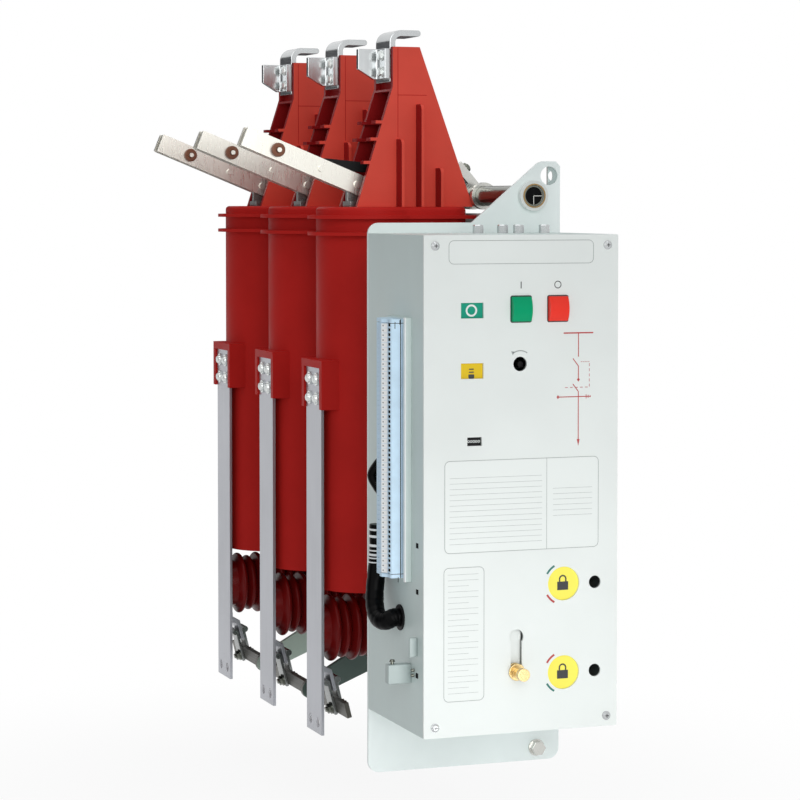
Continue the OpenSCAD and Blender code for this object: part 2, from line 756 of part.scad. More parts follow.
module insulator_brackets() {
    half = 36;
    t = 4;
    low = earth_z - 28;
    high = post_z + 40;
    color(painted_grey) for (i = [0:2]) translate([0, pole_y(i), 0]) difference() {
        union() {
            box([bracket_x, -half, low], [bracket_x + t, half, high]);
            for (y = [-half, half - t]) box([bracket_x, y, low], [frame_inner_x, y + t, high]);
        }
        bar_y(earth_shaft_d + 2 * pin_gap, -half - 1, half + 1, earth_x, earth_z);
    }
}

module hinge_brackets() {
    lug_r = 12;
    foot_t = 7;
    foot_half_w = 15;
    foot_back = 26;
    color(zinc) for (i = [0:2]) translate([0, pole_y(i), 0]) difference() {
        union() {
            box([pivot_x - lug_r, -foot_half_w, pole_top_z],
                [pivot_x + foot_back, foot_half_w, pole_top_z + foot_t]);
            plate_xz(-tongue_t / 2, tongue_t / 2) {
                translate([pivot_x, pivot_z]) circle(lug_r);
                translate([pivot_x - lug_r, pole_top_z + 1]) square([2 * lug_r, pivot_rise - 1]);
            }
        }
        bar_y(pivot_d + 2 * pin_gap, -foot_half_w, foot_half_w, pivot_x, pivot_z);
    }
}

// Places its children, given along a level blade, on the open blade
module on_blade() {
    translate([pivot_x, 0, pivot_z]) rotate([0, blade_angle, 0]) children();
}

module isolator_blade(i) {
    half = blade_gap / 2 + blade_bar_t;
    head = 3;
    color(bright_silver) translate([0, pole_y(i), 0]) on_blade() {
        for (s = [-1, 1]) plate_xz(min(s * half, s * blade_gap / 2), max(s * half, s * blade_gap / 2))
            round_rect(-blade_len, -blade_w / 2, blade_tail, blade_w / 2, 2);
        bar_y(pivot_d, -half - head, half + head);
        bar_y(rod_pin_d, -half - head, half + head, -crank);
        bar_y(spring_pin_d, -half - 10, half + 10, -spring_at);
    }
}

module blade_springs() {
    inner = blade_gap / 2 + blade_bar_t;
    cup_t = 6;
    color([0.55, 0.32, 0.22]) for (i = [0:2], y = [-inner - cup_t, inner])
        translate([0, pole_y(i), 0]) on_blade() difference() {
        bar_y(18, y, y + cup_t, -spring_at);
        bar_y(spring_pin_d, -inner - 8, inner + 8, -spring_at);
    }
}

module isolator_shaft() {
    front_y = plate_front_y - 6;
    socket_d = shaft_d - 4;
    socket_deep = 60;
    ear_inner = blade_gap / 2;
    ear_outer = ear_inner + ear_t;
    pin = [shaft_x + rod_dx, shaft_z + rod_dz];
    // Clamp arm that stands up from each lever, flush with one side of its collar
    clamp_len = 46;
    clamp_tilt = 131;
    clamp_right = 16;
    clamp_left = 6;
    // Collar that keeps the shaft in place in front of each tower
    collar_y = [-tower_half_w - 11, -tower_half_w - 2];
    color(zinc) {
        difference() {
            bar_y(shaft_d, front_y, frame_back_y + frame_t + 6, shaft_x, shaft_z);
            bar_y(socket_d, front_y - 1, front_y + socket_deep, shaft_x, shaft_z);
        }
        // Drive key in the open front end
        intersection() {
            bar_y(socket_d + 1, front_y + 2, front_y + socket_deep + 1, shaft_x, shaft_z);
            box([shaft_x, front_y, shaft_z - shaft_r], [shaft_x + shaft_r, front_y + socket_deep + 1, shaft_z]);
        }
        for (i = [0:2]) translate([0, pole_y(i), 0]) {
            for (y = [-ear_outer, ear_inner]) plate_xz(y, y + ear_t) {
                link([shaft_x, shaft_z], collar_r, pin, 12);
                translate([shaft_x, shaft_z]) rotate(clamp_tilt - 90)
                    translate([-clamp_left, 0]) square([clamp_left + clamp_right, clamp_len]);
            }
            bar_y(rod_pin_d, -ear_outer - 3, ear_outer + 3, pin[0], pin[1]);
            bar_y(2 * collar_r, collar_y[0], collar_y[1], shaft_x, shaft_z);
        }
    }
}

module pull_rods() {
    a = [pivot_x + rod_dx, pivot_z + rod_dz];
    b = [shaft_x + rod_dx, shaft_z + rod_dz];
    span = norm(b - a);
    along = (b - a) / span;
    up = [-along[1], along[0]];
    eye_r = 12;
    // The rod is raised over the blade's pivot: its underside, its crown and the half width of its lower run
    low = 1;
    high = 14;
    half = 9;
    // Where the underside and the crown bend down, along the rod, and the nose over the front eye
    under_bend = [75, 95];
    crown_bend = [90, 105];
    nose = [8, -10];
    nose_up = 4;
    color(black_plastic) for (i = [0:2]) translate([0, pole_y(i), 0])
        plate_xz(-tongue_t / 2, tongue_t / 2) difference() {
            union() {
                translate(a) circle(eye_r);
                translate(b) circle(eye_r - 1);
                polygon([
                    a + low * up, a + under_bend[0] * along + low * up, a + under_bend[1] * along - half * up,
                    b - half * up, b + half * up, a + crown_bend[1] * along + half * up,
                    a + crown_bend[0] * along + high * up, a + nose[0] * along + high * up,
                    a + nose[1] * along + nose_up * up
                ]);
            }
            translate(a) circle(d = rod_pin_d + 2 * pin_gap);
            translate(b) circle(d = rod_pin_d + 2 * pin_gap);
        }
}

module earthing_frame() {
    // How far the shaft and the cross bar run on past the outer poles
    shaft_over = 60;
    bar_over = [52, 40];
    shaft_end = phase_pitch + shaft_over;
    bar_low_y = pole_y(0) - bar_over[0];
    bar_high_y = pole_y(2) + bar_over[1];
    hub_half = 14;
    color([0.62, 0.70, 0.66]) {
        bar_y(earth_shaft_d, -shaft_end, shaft_end, earth_x, earth_z);
        for (y = [-arm_y, arm_y]) {
            plate_xz(y - arm_t / 2, y + arm_t / 2)
                link([earth_x, earth_z], arm_w / 2 + 6, [cross_x, cross_z], arm_w / 2 - 3);
            bar_y(earth_shaft_d + hub_half, y - hub_half, y + hub_half, earth_x, earth_z);
        }
        plate_xz(bar_low_y, bar_high_y) polygon([
            finger_point(-cross_w / 2, -cross_t / 2), finger_point(-cross_w / 2, cross_t / 2),
            finger_point(cross_w / 2, cross_t / 2), finger_point(cross_w / 2, -cross_t / 2)
        ]);
    }
}

// Pairs of fingers on the cross bar, curled outwards at the top
module earthing_clips() {
    inner = cross_t / 2;
    curl = 4.5;
    color(zinc) for (i = [0:2], s = [-1, 1]) translate([0, pole_y(i), 0])
        plate_xz(-finger_w / 2, finger_w / 2) {
            polygon([
                finger_point(-finger_down, s * inner), finger_point(finger_up - curl, s * inner),
                finger_point(finger_up - curl, s * (inner + finger_t)),
                finger_point(-finger_down, s * (inner + finger_t))
            ]);
            translate(finger_point(finger_up - curl, s * (inner + curl))) circle(curl, $fn = 24);
        }
}

module earthing_contacts() {
    half = earth_blade_t / 2;
    half_w = finger_w / 2 + 3;
    foot_t = 5;
    foot_top = cross_z + 59;
    color(bright_silver) for (i = [0:2]) translate([0, pole_y(i), 0]) plate_xz(-half_w, half_w) polygon([
        [bar_back_x, foot_top], [bar_back_x + foot_t, foot_top], [bar_back_x + foot_t, foot_top - 6],
        finger_point(48, half), finger_point(20, half), finger_point(20, -half), finger_point(44, -half),
        [bar_back_x, foot_top - 13]
    ]);
}

mounting_plate();
side_frame();
rear_bearing_plate();
mechanism_case();
front_panel();
close_button();
open_button();
position_indicator();
charge_indicator();
operation_counter();
isolator_shutter();
earthing_shutter();
interlock_knob();
terminal_strip();
cable_harness();
cable_grommet();
side_latch();
earth_terminal();
shaft_bush();
for (i = [0:2]) {
    pole(i);
    tower(i);
    terminal_hook(i);
    static_contact(i);
    load_bar(i);
    post_insulator(i);
    isolator_blade(i);
}
insulator_brackets();
hinge_brackets();
blade_springs();
isolator_shaft();
pull_rods();
earthing_frame();
earthing_clips();
earthing_contacts();
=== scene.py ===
# %% [markdown]
# An indoor vacuum circuit breaker: three moulded red poles, each with a blade isolator on top, an earthing
# switch underneath and a sheet-metal case that holds the drive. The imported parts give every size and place.
# This lesson adds what a camera sees: rounded edges, bolts, printed lines and the finish of each surface.

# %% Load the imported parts
import json
import math

import bmesh
import bpy
from mathutils import Matrix, Vector


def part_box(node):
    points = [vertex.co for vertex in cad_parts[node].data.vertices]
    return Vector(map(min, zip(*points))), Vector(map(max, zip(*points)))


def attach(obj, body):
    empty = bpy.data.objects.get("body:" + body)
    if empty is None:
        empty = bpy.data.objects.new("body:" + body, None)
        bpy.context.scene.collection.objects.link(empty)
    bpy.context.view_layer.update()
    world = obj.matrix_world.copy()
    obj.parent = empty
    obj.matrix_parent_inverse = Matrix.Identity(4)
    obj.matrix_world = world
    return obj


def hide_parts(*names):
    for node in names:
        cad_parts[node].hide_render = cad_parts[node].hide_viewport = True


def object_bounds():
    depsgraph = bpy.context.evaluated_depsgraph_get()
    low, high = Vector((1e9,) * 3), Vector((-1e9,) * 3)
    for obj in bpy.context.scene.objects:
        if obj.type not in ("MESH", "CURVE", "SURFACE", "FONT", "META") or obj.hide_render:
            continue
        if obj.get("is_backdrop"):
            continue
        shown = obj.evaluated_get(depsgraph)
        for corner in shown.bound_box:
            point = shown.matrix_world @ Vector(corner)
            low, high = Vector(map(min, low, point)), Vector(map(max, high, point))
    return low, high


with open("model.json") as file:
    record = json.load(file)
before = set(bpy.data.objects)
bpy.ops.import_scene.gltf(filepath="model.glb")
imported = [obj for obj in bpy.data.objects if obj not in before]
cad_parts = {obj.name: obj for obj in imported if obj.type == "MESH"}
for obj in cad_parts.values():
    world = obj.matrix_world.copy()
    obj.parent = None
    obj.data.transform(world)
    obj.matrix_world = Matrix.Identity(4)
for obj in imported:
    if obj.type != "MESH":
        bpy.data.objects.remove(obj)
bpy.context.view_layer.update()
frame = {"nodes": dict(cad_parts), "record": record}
nodes = frame["nodes"]
record = frame["record"]
scene = bpy.context.scene
MM = 0.001
POLES = (1, 2, 3)
BODY_OF = {n: body for body, group in record["behaviour"]["bodies"].items() for n in group}
SLOT_OF = {s["node"]: s["material_slot"] for s in record["subparts"]}

# %% [markdown]
# The camera stands to the left of the panel and a little above it. Its place could be found by trial, but it was
# solved from the straight edges of the panel and the bars, so the render lies over the photograph.

# %% Camera
CAMERA_PLACE = (-1.295, -3.387, 0.332)
CAMERA_PITCH = math.radians(87.5)
CAMERA_YAW = math.radians(-20.01)
camera_data = bpy.data.cameras.new("camera")
camera_data.lens = 116.44
camera_data.sensor_width = 36
camera_data.shift_y = -0.109
camera = bpy.data.objects.new("camera", camera_data)
camera.location = CAMERA_PLACE
camera.rotation_euler = (CAMERA_PITCH, 0, CAMERA_YAW)
scene.collection.objects.link(camera)
scene.camera = camera
print("camera at", CAMERA_PLACE)

# %% [markdown]
# Product light is large and soft. One broad lamp stands in front, a small one lifts the foot of the panel, a weak one
# fills the left, one hangs above, and a pale world fills the rest. The world is white only along the rays that the
# eye, a mirror or glass would follow, so the white background puts no light of its own on the object.

# %% Light and background
scene.view_settings.view_transform = "Standard"


def area_lamp(name, place, target, size, power):
    """A round lamp at a place, turned towards a target."""
    data = bpy.data.lights.new(name, "AREA")
    data.shape = "DISK"
    data.size = size
    data.energy = power
    lamp = bpy.data.objects.new(name, data)
    lamp.location = place
    lamp.rotation_euler = (Vector(target) - Vector(place)).to_track_quat("-Z", "Y").to_euler()
    scene.collection.objects.link(lamp)


def put(node, values):
    """Sets inputs of a node by name."""
    for name, value in values.items():
        node.inputs[name].default_value = value


def wire(tree, *links):
    """Makes links, each given as a node, its output, the next node and its input."""
    for source, output, target, entry in links:
        tree.links.new(source.outputs[output], target.inputs[entry])


area_lamp("key", (-0.6, -3.3, 0.9), (-0.15, -0.3, 0.05), 2.2, 32)
area_lamp("low", (-0.1, -1.3, -0.3), (-0.15, -0.4, -0.2), 0.3, 1.7)
area_lamp("fill", (-2.6, -1.6, 1.2), (-0.2, 0, 0.05), 1.8, 3.2)
area_lamp("top", (-0.3, -0.2, 2.6), (-0.2, -0.1, 0.1), 2.0, 14)

world = bpy.data.worlds.new("studio")
scene.world = world
world.use_nodes = True
tree = world.node_tree
ambient = tree.nodes["Background"]
put(ambient, {"Color": (0.95, 0.97, 1.0, 1), "Strength": 0.35})
white = tree.nodes.new("ShaderNodeBackground")
put(white, {"Color": (1, 1, 1, 1), "Strength": 1.0})


def seen_rays(tree):
    """A mask of the rays that a camera, a mirror or glass follows."""
    rays = tree.nodes.new("ShaderNodeLightPath")
    total = rays.outputs["Is Camera Ray"]
    for more in ("Is Glossy Ray", "Is Transmission Ray"):
        add = tree.nodes.new("ShaderNodeMath")
        add.operation = "ADD"
        add.use_clamp = True
        tree.links.new(total, add.inputs[0])
        tree.links.new(rays.outputs[more], add.inputs[1])
        total = add.outputs["Value"]
    return total


mix = tree.nodes.new("ShaderNodeMixShader")
tree.links.new(seen_rays(tree), mix.inputs["Fac"])
wire(tree, (ambient, "Background", mix, 1), (white, "Background", mix, 2),
     (mix, "Shader", tree.nodes["World Output"], "Surface"))
print("lamps and world ready")

# %% [markdown]
# Three node groups hold the effects that many surfaces share. One lets a colour drift a little from place to place,
# one gives paint and plastic their fine grain, and one draws the streaks that brushing leaves on metal. They work on
# Object coordinates, so they stay with the piece when it moves.

# %% Shader node groups


def group(name, inputs, outputs):
    """A new node group with its sockets, and its two end nodes."""
    made = bpy.data.node_groups.new(name, "ShaderNodeTree")
    for socket, kind, value in inputs:
        made.interface.new_socket(name=socket, in_out="INPUT", socket_type=kind).default_value = value
    for socket, kind in outputs:
        made.interface.new_socket(name=socket, in_out="OUTPUT", socket_type=kind)
    return made, made.nodes.new("NodeGroupInput"), made.nodes.new("NodeGroupOutput")


FLOAT, COLOUR, VECTOR = "NodeSocketFloat", "NodeSocketColor", "NodeSocketVector"
# Most of a noise texture lies in this range
NOISE_LOW, NOISE_HIGH = 0.3, 0.7

drift, given, result = group(
    "colour_drift",
    [("Colour", COLOUR, (0.5, 0.5, 0.5, 1)), ("Scale", FLOAT, 8.0), ("Darkest", FLOAT, 0.92),
     ("Lightest", FLOAT, 1.05)],
    [("Colour", COLOUR), ("Mask", FLOAT)],
)
place = drift.nodes.new("ShaderNodeTexCoord")
noise = drift.nodes.new("ShaderNodeTexNoise")
put(noise, {"Detail": 4})
spread = drift.nodes.new("ShaderNodeMapRange")
put(spread, {"From Min": NOISE_LOW, "From Max": NOISE_HIGH})
tint = drift.nodes.new("ShaderNodeMix")
tint.data_type = "RGBA"
tint.blend_type = "MULTIPLY"
put(tint, {"Factor": 1})
wire(drift, (place, "Object", noise, "Vector"), (given, "Scale", noise, "Scale"), (noise, "Fac", spread, "Value"),
     (given, "Darkest", spread, "To Min"), (given, "Lightest", spread, "To Max"), (given, "Colour", tint, "A"),
     (spread, "Result", tint, "B"), (tint, "Result", result, "Colour"), (noise, "Fac", result, "Mask"))

grain, given, result = group(
    "fine_grain", [("Scale", FLOAT, 900.0), ("Strength", FLOAT, 0.1), ("Height", FLOAT, 0.0002)], [("Normal", VECTOR)]
)
place = grain.nodes.new("ShaderNodeTexCoord")
noise = grain.nodes.new("ShaderNodeTexNoise")
put(noise, {"Detail": 2})
bump = grain.nodes.new("ShaderNodeBump")
wire(grain, (place, "Object", noise, "Vector"), (given, "Scale", noise, "Scale"), (noise, "Fac", bump, "Height"),
     (given, "Strength", bump, "Strength"), (given, "Height", bump, "Distance"), (bump, "Normal", result, "Normal"))

brush, given, result = group(
    "brush_streaks", [("Stretch", VECTOR, (900, 900, 12)), ("Strength", FLOAT, 0.08)],
    [("Mask", FLOAT), ("Normal", VECTOR)]
)
place = brush.nodes.new("ShaderNodeTexCoord")
stretch = brush.nodes.new("ShaderNodeVectorMath")
stretch.operation = "MULTIPLY"
noise = brush.nodes.new("ShaderNodeTexNoise")
put(noise, {"Scale": 1, "Detail": 3})
bump = brush.nodes.new("ShaderNodeBump")
put(bump, {"Distance": 0.0001})
wire(brush, (place, "Object", stretch, 0), (given, "Stretch", stretch, 1), (stretch, "Vector", noise, "Vector"),
     (noise, "Fac", bump, "Height"), (given, "Strength", bump, "Strength"), (noise, "Fac", result, "Mask"),
     (bump, "Normal", result, "Normal"))
print("node groups:", [g.name for g in bpy.data.node_groups])

# %% [markdown]
# Each finish is written as the colour that the eye reads in plain light. A finish is dull or glossy, metal or not,
# and has grain or brush marks. The roughness follows the drift's mask, so a large flat face isn't quite even.

# %% Finishes


def seen(red, green, blue):
    """A colour read off a screen, turned into the shader's linear values."""
    parts = [c / 255 for c in (red, green, blue)]
    return (*[c / 12.92 if c <= 0.04045 else ((c + 0.055) / 1.055) ** 2.4 for c in parts], 1)


ROUGH_SPREAD = 0.15


def use_group(tree, shared, values):
    """Puts one of the shared node groups into a material."""
    node = tree.nodes.new("ShaderNodeGroup")
    node.node_tree = shared
    put(node, values)
    return node


def finish(name, colour, roughness, metallic=0.0, specular=0.5, drift_scale=8.0, drift_range=(0.93, 1.05),
           grain_scale=0.0, grain_strength=0.1, streaks=None):
    """A material whose colour and roughness drift, with grain or brush marks if asked."""
    material = bpy.data.materials.new(name)
    material.use_nodes = True
    tree = material.node_tree
    shader = tree.nodes["Principled BSDF"]
    put(shader, {"Metallic": metallic, "Specular IOR Level": specular})
    masking = use_group(tree, drift, {"Colour": colour, "Scale": drift_scale, "Darkest": drift_range[0],
                                      "Lightest": drift_range[1]})
    wire(tree, (masking, "Colour", shader, "Base Color"))
    if streaks:
        masking = use_group(tree, brush, {"Stretch": streaks, "Strength": grain_strength})
        wire(tree, (masking, "Normal", shader, "Normal"))
    elif grain_scale:
        texture = use_group(tree, grain, {"Scale": grain_scale, "Strength": grain_strength})
        wire(tree, (texture, "Normal", shader, "Normal"))
    rough = tree.nodes.new("ShaderNodeMapRange")
    put(rough, {"From Min": NOISE_LOW, "From Max": NOISE_HIGH, "To Min": roughness * (1 - ROUGH_SPREAD),
                "To Max": roughness * (1 + ROUGH_SPREAD)})
    wire(tree, (masking, "Mask", rough, "Value"), (rough, "Result", shader, "Roughness"))
    return material


UP, ALONG_Y = (700, 700, 9), (700, 9, 700)
EPOXY_GRAIN = {"grain_scale": 160, "grain_strength": 0.05}
PAINT_GRAIN = {"grain_scale": 700, "grain_strength": 0.1}
BUTTON_GRAIN = {"grain_scale": 400, "grain_strength": 0.03}
FINISH = {
    "epoxy": finish("epoxy", seen(192, 40, 36), 0.42, specular=0.04, drift_scale=14, **EPOXY_GRAIN),
    "bright_silver": finish("bright_silver", seen(176, 178, 184), 0.34, metallic=0.8, streaks=UP,
                            grain_strength=0.12),
    "painted_grey": finish("painted_grey", seen(208, 222, 219), 0.42, **PAINT_GRAIN),
    "panel": finish("panel", seen(226, 231, 228), 0.4, grain_scale=700, grain_strength=0.08,
                    drift_range=(0.97, 1.02)),
    "zinc": finish("zinc", seen(150, 154, 152), 0.3, metallic=0.9, streaks=ALONG_Y, grain_strength=0.08),
    # The earthing frame's zinc is set dark, as its front arm looks in shade: painted shade
    "zinc_green": finish("zinc_green", seen(86, 102, 96), 0.4, metallic=0.5, streaks=ALONG_Y, grain_strength=0.08),
    "green_button": finish("green_button", seen(2, 156, 106), 0.3, specular=0.12, **BUTTON_GRAIN),
    "red_button": finish("red_button", seen(238, 56, 42), 0.3, specular=0.2, **BUTTON_GRAIN),
    "teal_flag": finish("teal_flag", seen(10, 150, 122), 0.4, specular=0.25, grain_scale=500),
    "yellow_flag": finish("yellow_flag", seen(246, 234, 96), 0.4, specular=0.3, grain_scale=500),
    "black_plastic": finish("black_plastic", seen(22, 22, 23), 0.45, specular=0.15, grain_scale=900,
                            grain_strength=0.15),
    "black_sheath": finish("black_sheath", seen(3, 3, 4), 0.32, specular=0.07, grain_scale=260, grain_strength=0.2),
    "terminal_blue": finish("terminal_blue", seen(205, 231, 249), 0.45, drift_scale=60, grain_scale=800),
    "brass": finish("brass", seen(222, 196, 140), 0.28, metallic=0.9, streaks=ALONG_Y, grain_strength=0.06),
    "copper": finish("copper", seen(112, 70, 50), 0.4, metallic=0.5, streaks=ALONG_Y),
}
# Lighter and darker copies of the epoxy: painted light on the towers, painted shade in their mouths
TOWER = finish("epoxy_tower_painted_light", seen(231, 85, 70), 0.32, specular=0.1, drift_scale=12, **EPOXY_GRAIN)
MOUTH = finish("epoxy_mouth_painted_shade", seen(150, 24, 26), 0.36, specular=0.1, drift_scale=12, **EPOXY_GRAIN)
# A darker copy of the epoxy on the sheds: painted shade for their place under the poles
SHED_SHADE = finish("epoxy_shed_painted_shade", seen(112, 16, 15), 0.3, specular=0.12, drift_scale=20, **EPOXY_GRAIN)
BLADE = finish("blade_silver", seen(228, 226, 217), 0.3, metallic=0.8, streaks=(700, 700, 40), grain_strength=0.1)
CROSS = finish("cross_bar_zinc", seen(96, 94, 88), 0.38, metallic=0.7, streaks=ALONG_Y, grain_strength=0.15)
SHAFT = finish("shaft_steel", seen(112, 115, 107), 0.2, metallic=0.9, streaks=ALONG_Y, grain_strength=0.1)
BRIGHT = finish("bright_zinc", seen(205, 205, 200), 0.22, metallic=0.85, streaks=ALONG_Y, grain_strength=0.06)
CHROME = finish("contact_chrome", seen(192, 195, 196), 0.22, metallic=0.9, streaks=UP, grain_strength=0.14)
CLIP = finish("clip_steel", seen(138, 141, 140), 0.22, metallic=0.9, streaks=ALONG_Y, grain_strength=0.14)
# A pale matt copy of the silver: painted light inside the load bars' holes
LIT_BORE = finish("bore_painted_light", seen(214, 214, 218), 0.5, metallic=0.2, drift_scale=200)
# A lighter copy of the grey paint: painted light on the mounting plate, against the case's shade
LIT_PLATE = finish("plate_paint_painted_light", seen(240, 248, 246), 0.42, **PAINT_GRAIN)
# A darker copy of the grey paint: painted shade on the side latch and the lifting flange
SHADED = finish("grey_paint_painted_shade", seen(176, 189, 187), 0.42, **PAINT_GRAIN)
SCREW = finish("screw_zinc", seen(226, 230, 228), 0.24, metallic=0.6, drift_scale=60)
DULL_BRASS = finish("dull_brass", seen(150, 122, 78), 0.35, metallic=0.7, drift_scale=60)
# A paler copy of the frame's zinc: painted light on the rear arm
LIT_ARM = finish("arm_painted_light", seen(178, 196, 184), 0.4, metallic=0.4, streaks=ALONG_Y, grain_strength=0.08)
GOLD = finish("gold_flag", seen(228, 194, 30), 0.4, specular=0.3, grain_scale=500)
INK_GREY = finish("ink_grey", seen(150, 156, 154), 0.5, drift_scale=200)
INK_RED = finish("ink_red", seen(178, 62, 60), 0.5, drift_scale=200)
INK_GREEN = finish("ink_green", seen(36, 110, 100), 0.5, drift_scale=200)
INK_BLACK = finish("ink_black", seen(40, 42, 44), 0.5, drift_scale=200)
LABEL = finish("label_film", seen(228, 233, 230), 0.4, drift_range=(0.99, 1.01))
MARKER = finish("marker_white", seen(246, 248, 248), 0.45, drift_scale=300, drift_range=(0.97, 1.01))
# Near-black painted shade for slots, slits, sockets and holes
HOLE = finish("hole_painted_shade", seen(12, 12, 13), 0.7, specular=0.08, drift_scale=200)
print("finishes:", len(bpy.data.materials))

# %% [markdown]
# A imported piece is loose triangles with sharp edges. The helper copies it, merges the triangles into faces and rounds
# every sharp edge, because a real edge always catches a line of light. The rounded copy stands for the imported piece.

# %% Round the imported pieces
SHARP, FLAT = math.radians(32), math.radians(0.4)
MERGE = 2e-6


def show(name, bm, body, material):
    """Turns a bmesh into a piece that rides on a body."""
    for face in bm.faces:
        face.smooth = True
    for edge in bm.edges:
        edge.smooth = len(edge.link_faces) == 2 and edge.calc_face_angle(0) < SHARP
    mesh = bpy.data.meshes.new(name)
    bm.to_mesh(mesh)
    bm.free()
    mesh.materials.append(material)
    piece = bpy.data.objects.new(name, mesh)
    scene.collection.objects.link(piece)
    even = piece.modifiers.new("even_normals", "WEIGHTED_NORMAL")
    even.keep_sharp = True
    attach(piece, body)
    return piece


def round_edges(bm, width, segments=2, choose=None):
    """Rounds the sharp edges of a bmesh, or those of them that pass a test."""
    sharp = [e for e in bm.edges if len(e.link_faces) == 2 and e.calc_face_angle(0) > SHARP
             and (not choose or choose(e))]
    if sharp:
        bmesh.ops.bevel(bm, geom=sharp, offset=width, offset_type="OFFSET", affect="EDGES", segments=segments,
                        profile=0.5, material=-1, clamp_overlap=True)


def dress(node, width, first=None, material=None):
    """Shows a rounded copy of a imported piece. first holds a wider rounding for chosen edges."""
    bm = bmesh.new()
    bm.from_mesh(nodes[node].data)
    bmesh.ops.remove_doubles(bm, verts=bm.verts, dist=MERGE)
    bmesh.ops.dissolve_limit(bm, angle_limit=FLAT, verts=bm.verts, edges=bm.edges)
    if first:
        round_edges(bm, first[0] * MM, 4, first[1])
    round_edges(bm, width * MM)
    slot = SLOT_OF[node]
    piece = show(node + "_skin", bm, BODY_OF[node], material or FINISH[slot])
    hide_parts(node)
    return piece


def head_rim(edge):
    """True on the upper rim of a pole's oblong head."""
    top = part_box("pole_1")[1].z
    return all(abs(v.co.z - top) < 1e-5 for v in edge.verts)


def paint_where(piece, material, inside, some=False):
    """Gives another finish to the faces of which all corners, or some, pass a test."""
    mesh = piece.data
    mesh.materials.append(material)
    for face in mesh.polygons:
        passed = [inside(mesh.vertices[v].co) for v in face.vertices]
        if any(passed) if some else all(passed):
            face.material_index = len(mesh.materials) - 1


def off_axis(point, x, z):
    """Distance from an axis that runs along Y."""
    return math.hypot(point.x - x, point.z - z)


# How far each piece's edges are rounded, in millimetres
ROUNDING = {
    "mounting_plate": 0.8, "side_frame": 0.8, "rear_bearing_plate": 0.8, "mechanism_case": 1.0, "front_panel": 0.8,
    "close_button": 1.4, "open_button": 1.4, "position_indicator": 0.3, "charge_indicator": 0.3,
    "operation_counter": 0.3, "isolator_shutter": 0.4, "earthing_shutter": 0.4, "interlock_knob": 0.7,
    "side_latch": 1.8, "earth_terminal": 0.6, "shaft_bush": 0.8, "insulator_brackets": 0.8, "hinge_brackets": 1.0,
    "blade_springs": 1.2, "isolator_shaft": 0.6, "pull_rods": 1.0, "earthing_frame": 0.8, "earthing_clips": 0.7,
    "earthing_contacts": 0.7, "cable_grommet": 0.8,
}
# Half the width of a tower's hollow, and how far a face may turn away from its mouth
MOUTH_HALF, MOUTH_TURN = 0.034, 0.3
LUG_HOLE_RISE, LUG_HOLE_REACH, BAR_EDGE, SKIN = 15 * MM, 8 * MM, 4 * MM, 0.05 * MM
# The mounting plate's lighter paint is painted light, and the side latch's darker paint is painted shade
OWN_FINISH = {"isolator_shaft": SHAFT, "earth_terminal": BRIGHT, "mounting_plate": LIT_PLATE, "side_latch": SHADED,
              "earthing_clips": CLIP, "charge_indicator": GOLD}
skins = {node: dress(node, width, material=OWN_FINISH.get(node)) for node, width in ROUNDING.items()}
for i in POLES:
    dress(f"pole_{i}", 1.6, first=(5, head_rim))
    # Towers take a lighter epoxy, painted light; mouth faces and left-turned faces take a deeper red, painted shade
    tower = dress(f"tower_{i}", 1.4, material=TOWER)
    tower.data.materials.append(MOUTH)
    middle = sum(corner.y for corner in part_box(f"tower_{i}")) / 2
    for face in tower.data.polygons:
        inside = abs(face.center.y - middle) < MOUTH_HALF
        if face.normal.x < (MOUTH_TURN if inside else -MOUTH_TURN):
            face.material_index = 1
    dress(f"terminal_hook_{i}", 1.0, material=CHROME)
    dress(f"static_contact_{i}", 0.9, material=CHROME)
    dress(f"isolator_blade_{i}", 0.7, material=BLADE)
    # The holes at the foot of a load bar take a pale matt copy of the silver: painted light inside them
    bar = dress(f"load_bar_{i}", 0.6)
    low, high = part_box(f"load_bar_{i}")
    hole_z = low.z + LUG_HOLE_RISE
    paint_where(bar, LIT_BORE, lambda p: low.x + SKIN < p.x < high.x - SKIN and abs(p.z - hole_z) < LUG_HOLE_REACH
                and low.y + BAR_EDGE < p.y < high.y - BAR_EDGE)
# The cross bar is darker than the arms that carry it, the rear arm is paler as painted light, and the levers outshine
# their shaft
CROSS_BAR, CROSS_REACH = (-0.228, -0.324), 16 * MM
SHAFT_AXIS, SHAFT_REACH = (-0.038, 0.337), 14 * MM
REAR_ARM_END = 0.15
# Painted light: the rear arm takes the paler zinc
paint_where(skins["earthing_frame"], LIT_ARM, lambda p: 0 < p.y < REAR_ARM_END)
paint_where(skins["earthing_frame"], CROSS, lambda p: off_axis(p, *CROSS_BAR) < CROSS_REACH)
paint_where(skins["isolator_shaft"], BRIGHT, lambda p: off_axis(p, *SHAFT_AXIS) > SHAFT_REACH, some=True)

# %% [markdown]
# A post insulator is a turned shape, so its outline is drawn once and spun round the axis. The sheds are round at
# the tip and flow into each other at the root. Large and slightly smaller sheds take turns.

# %% Post insulators
TURNS = 64


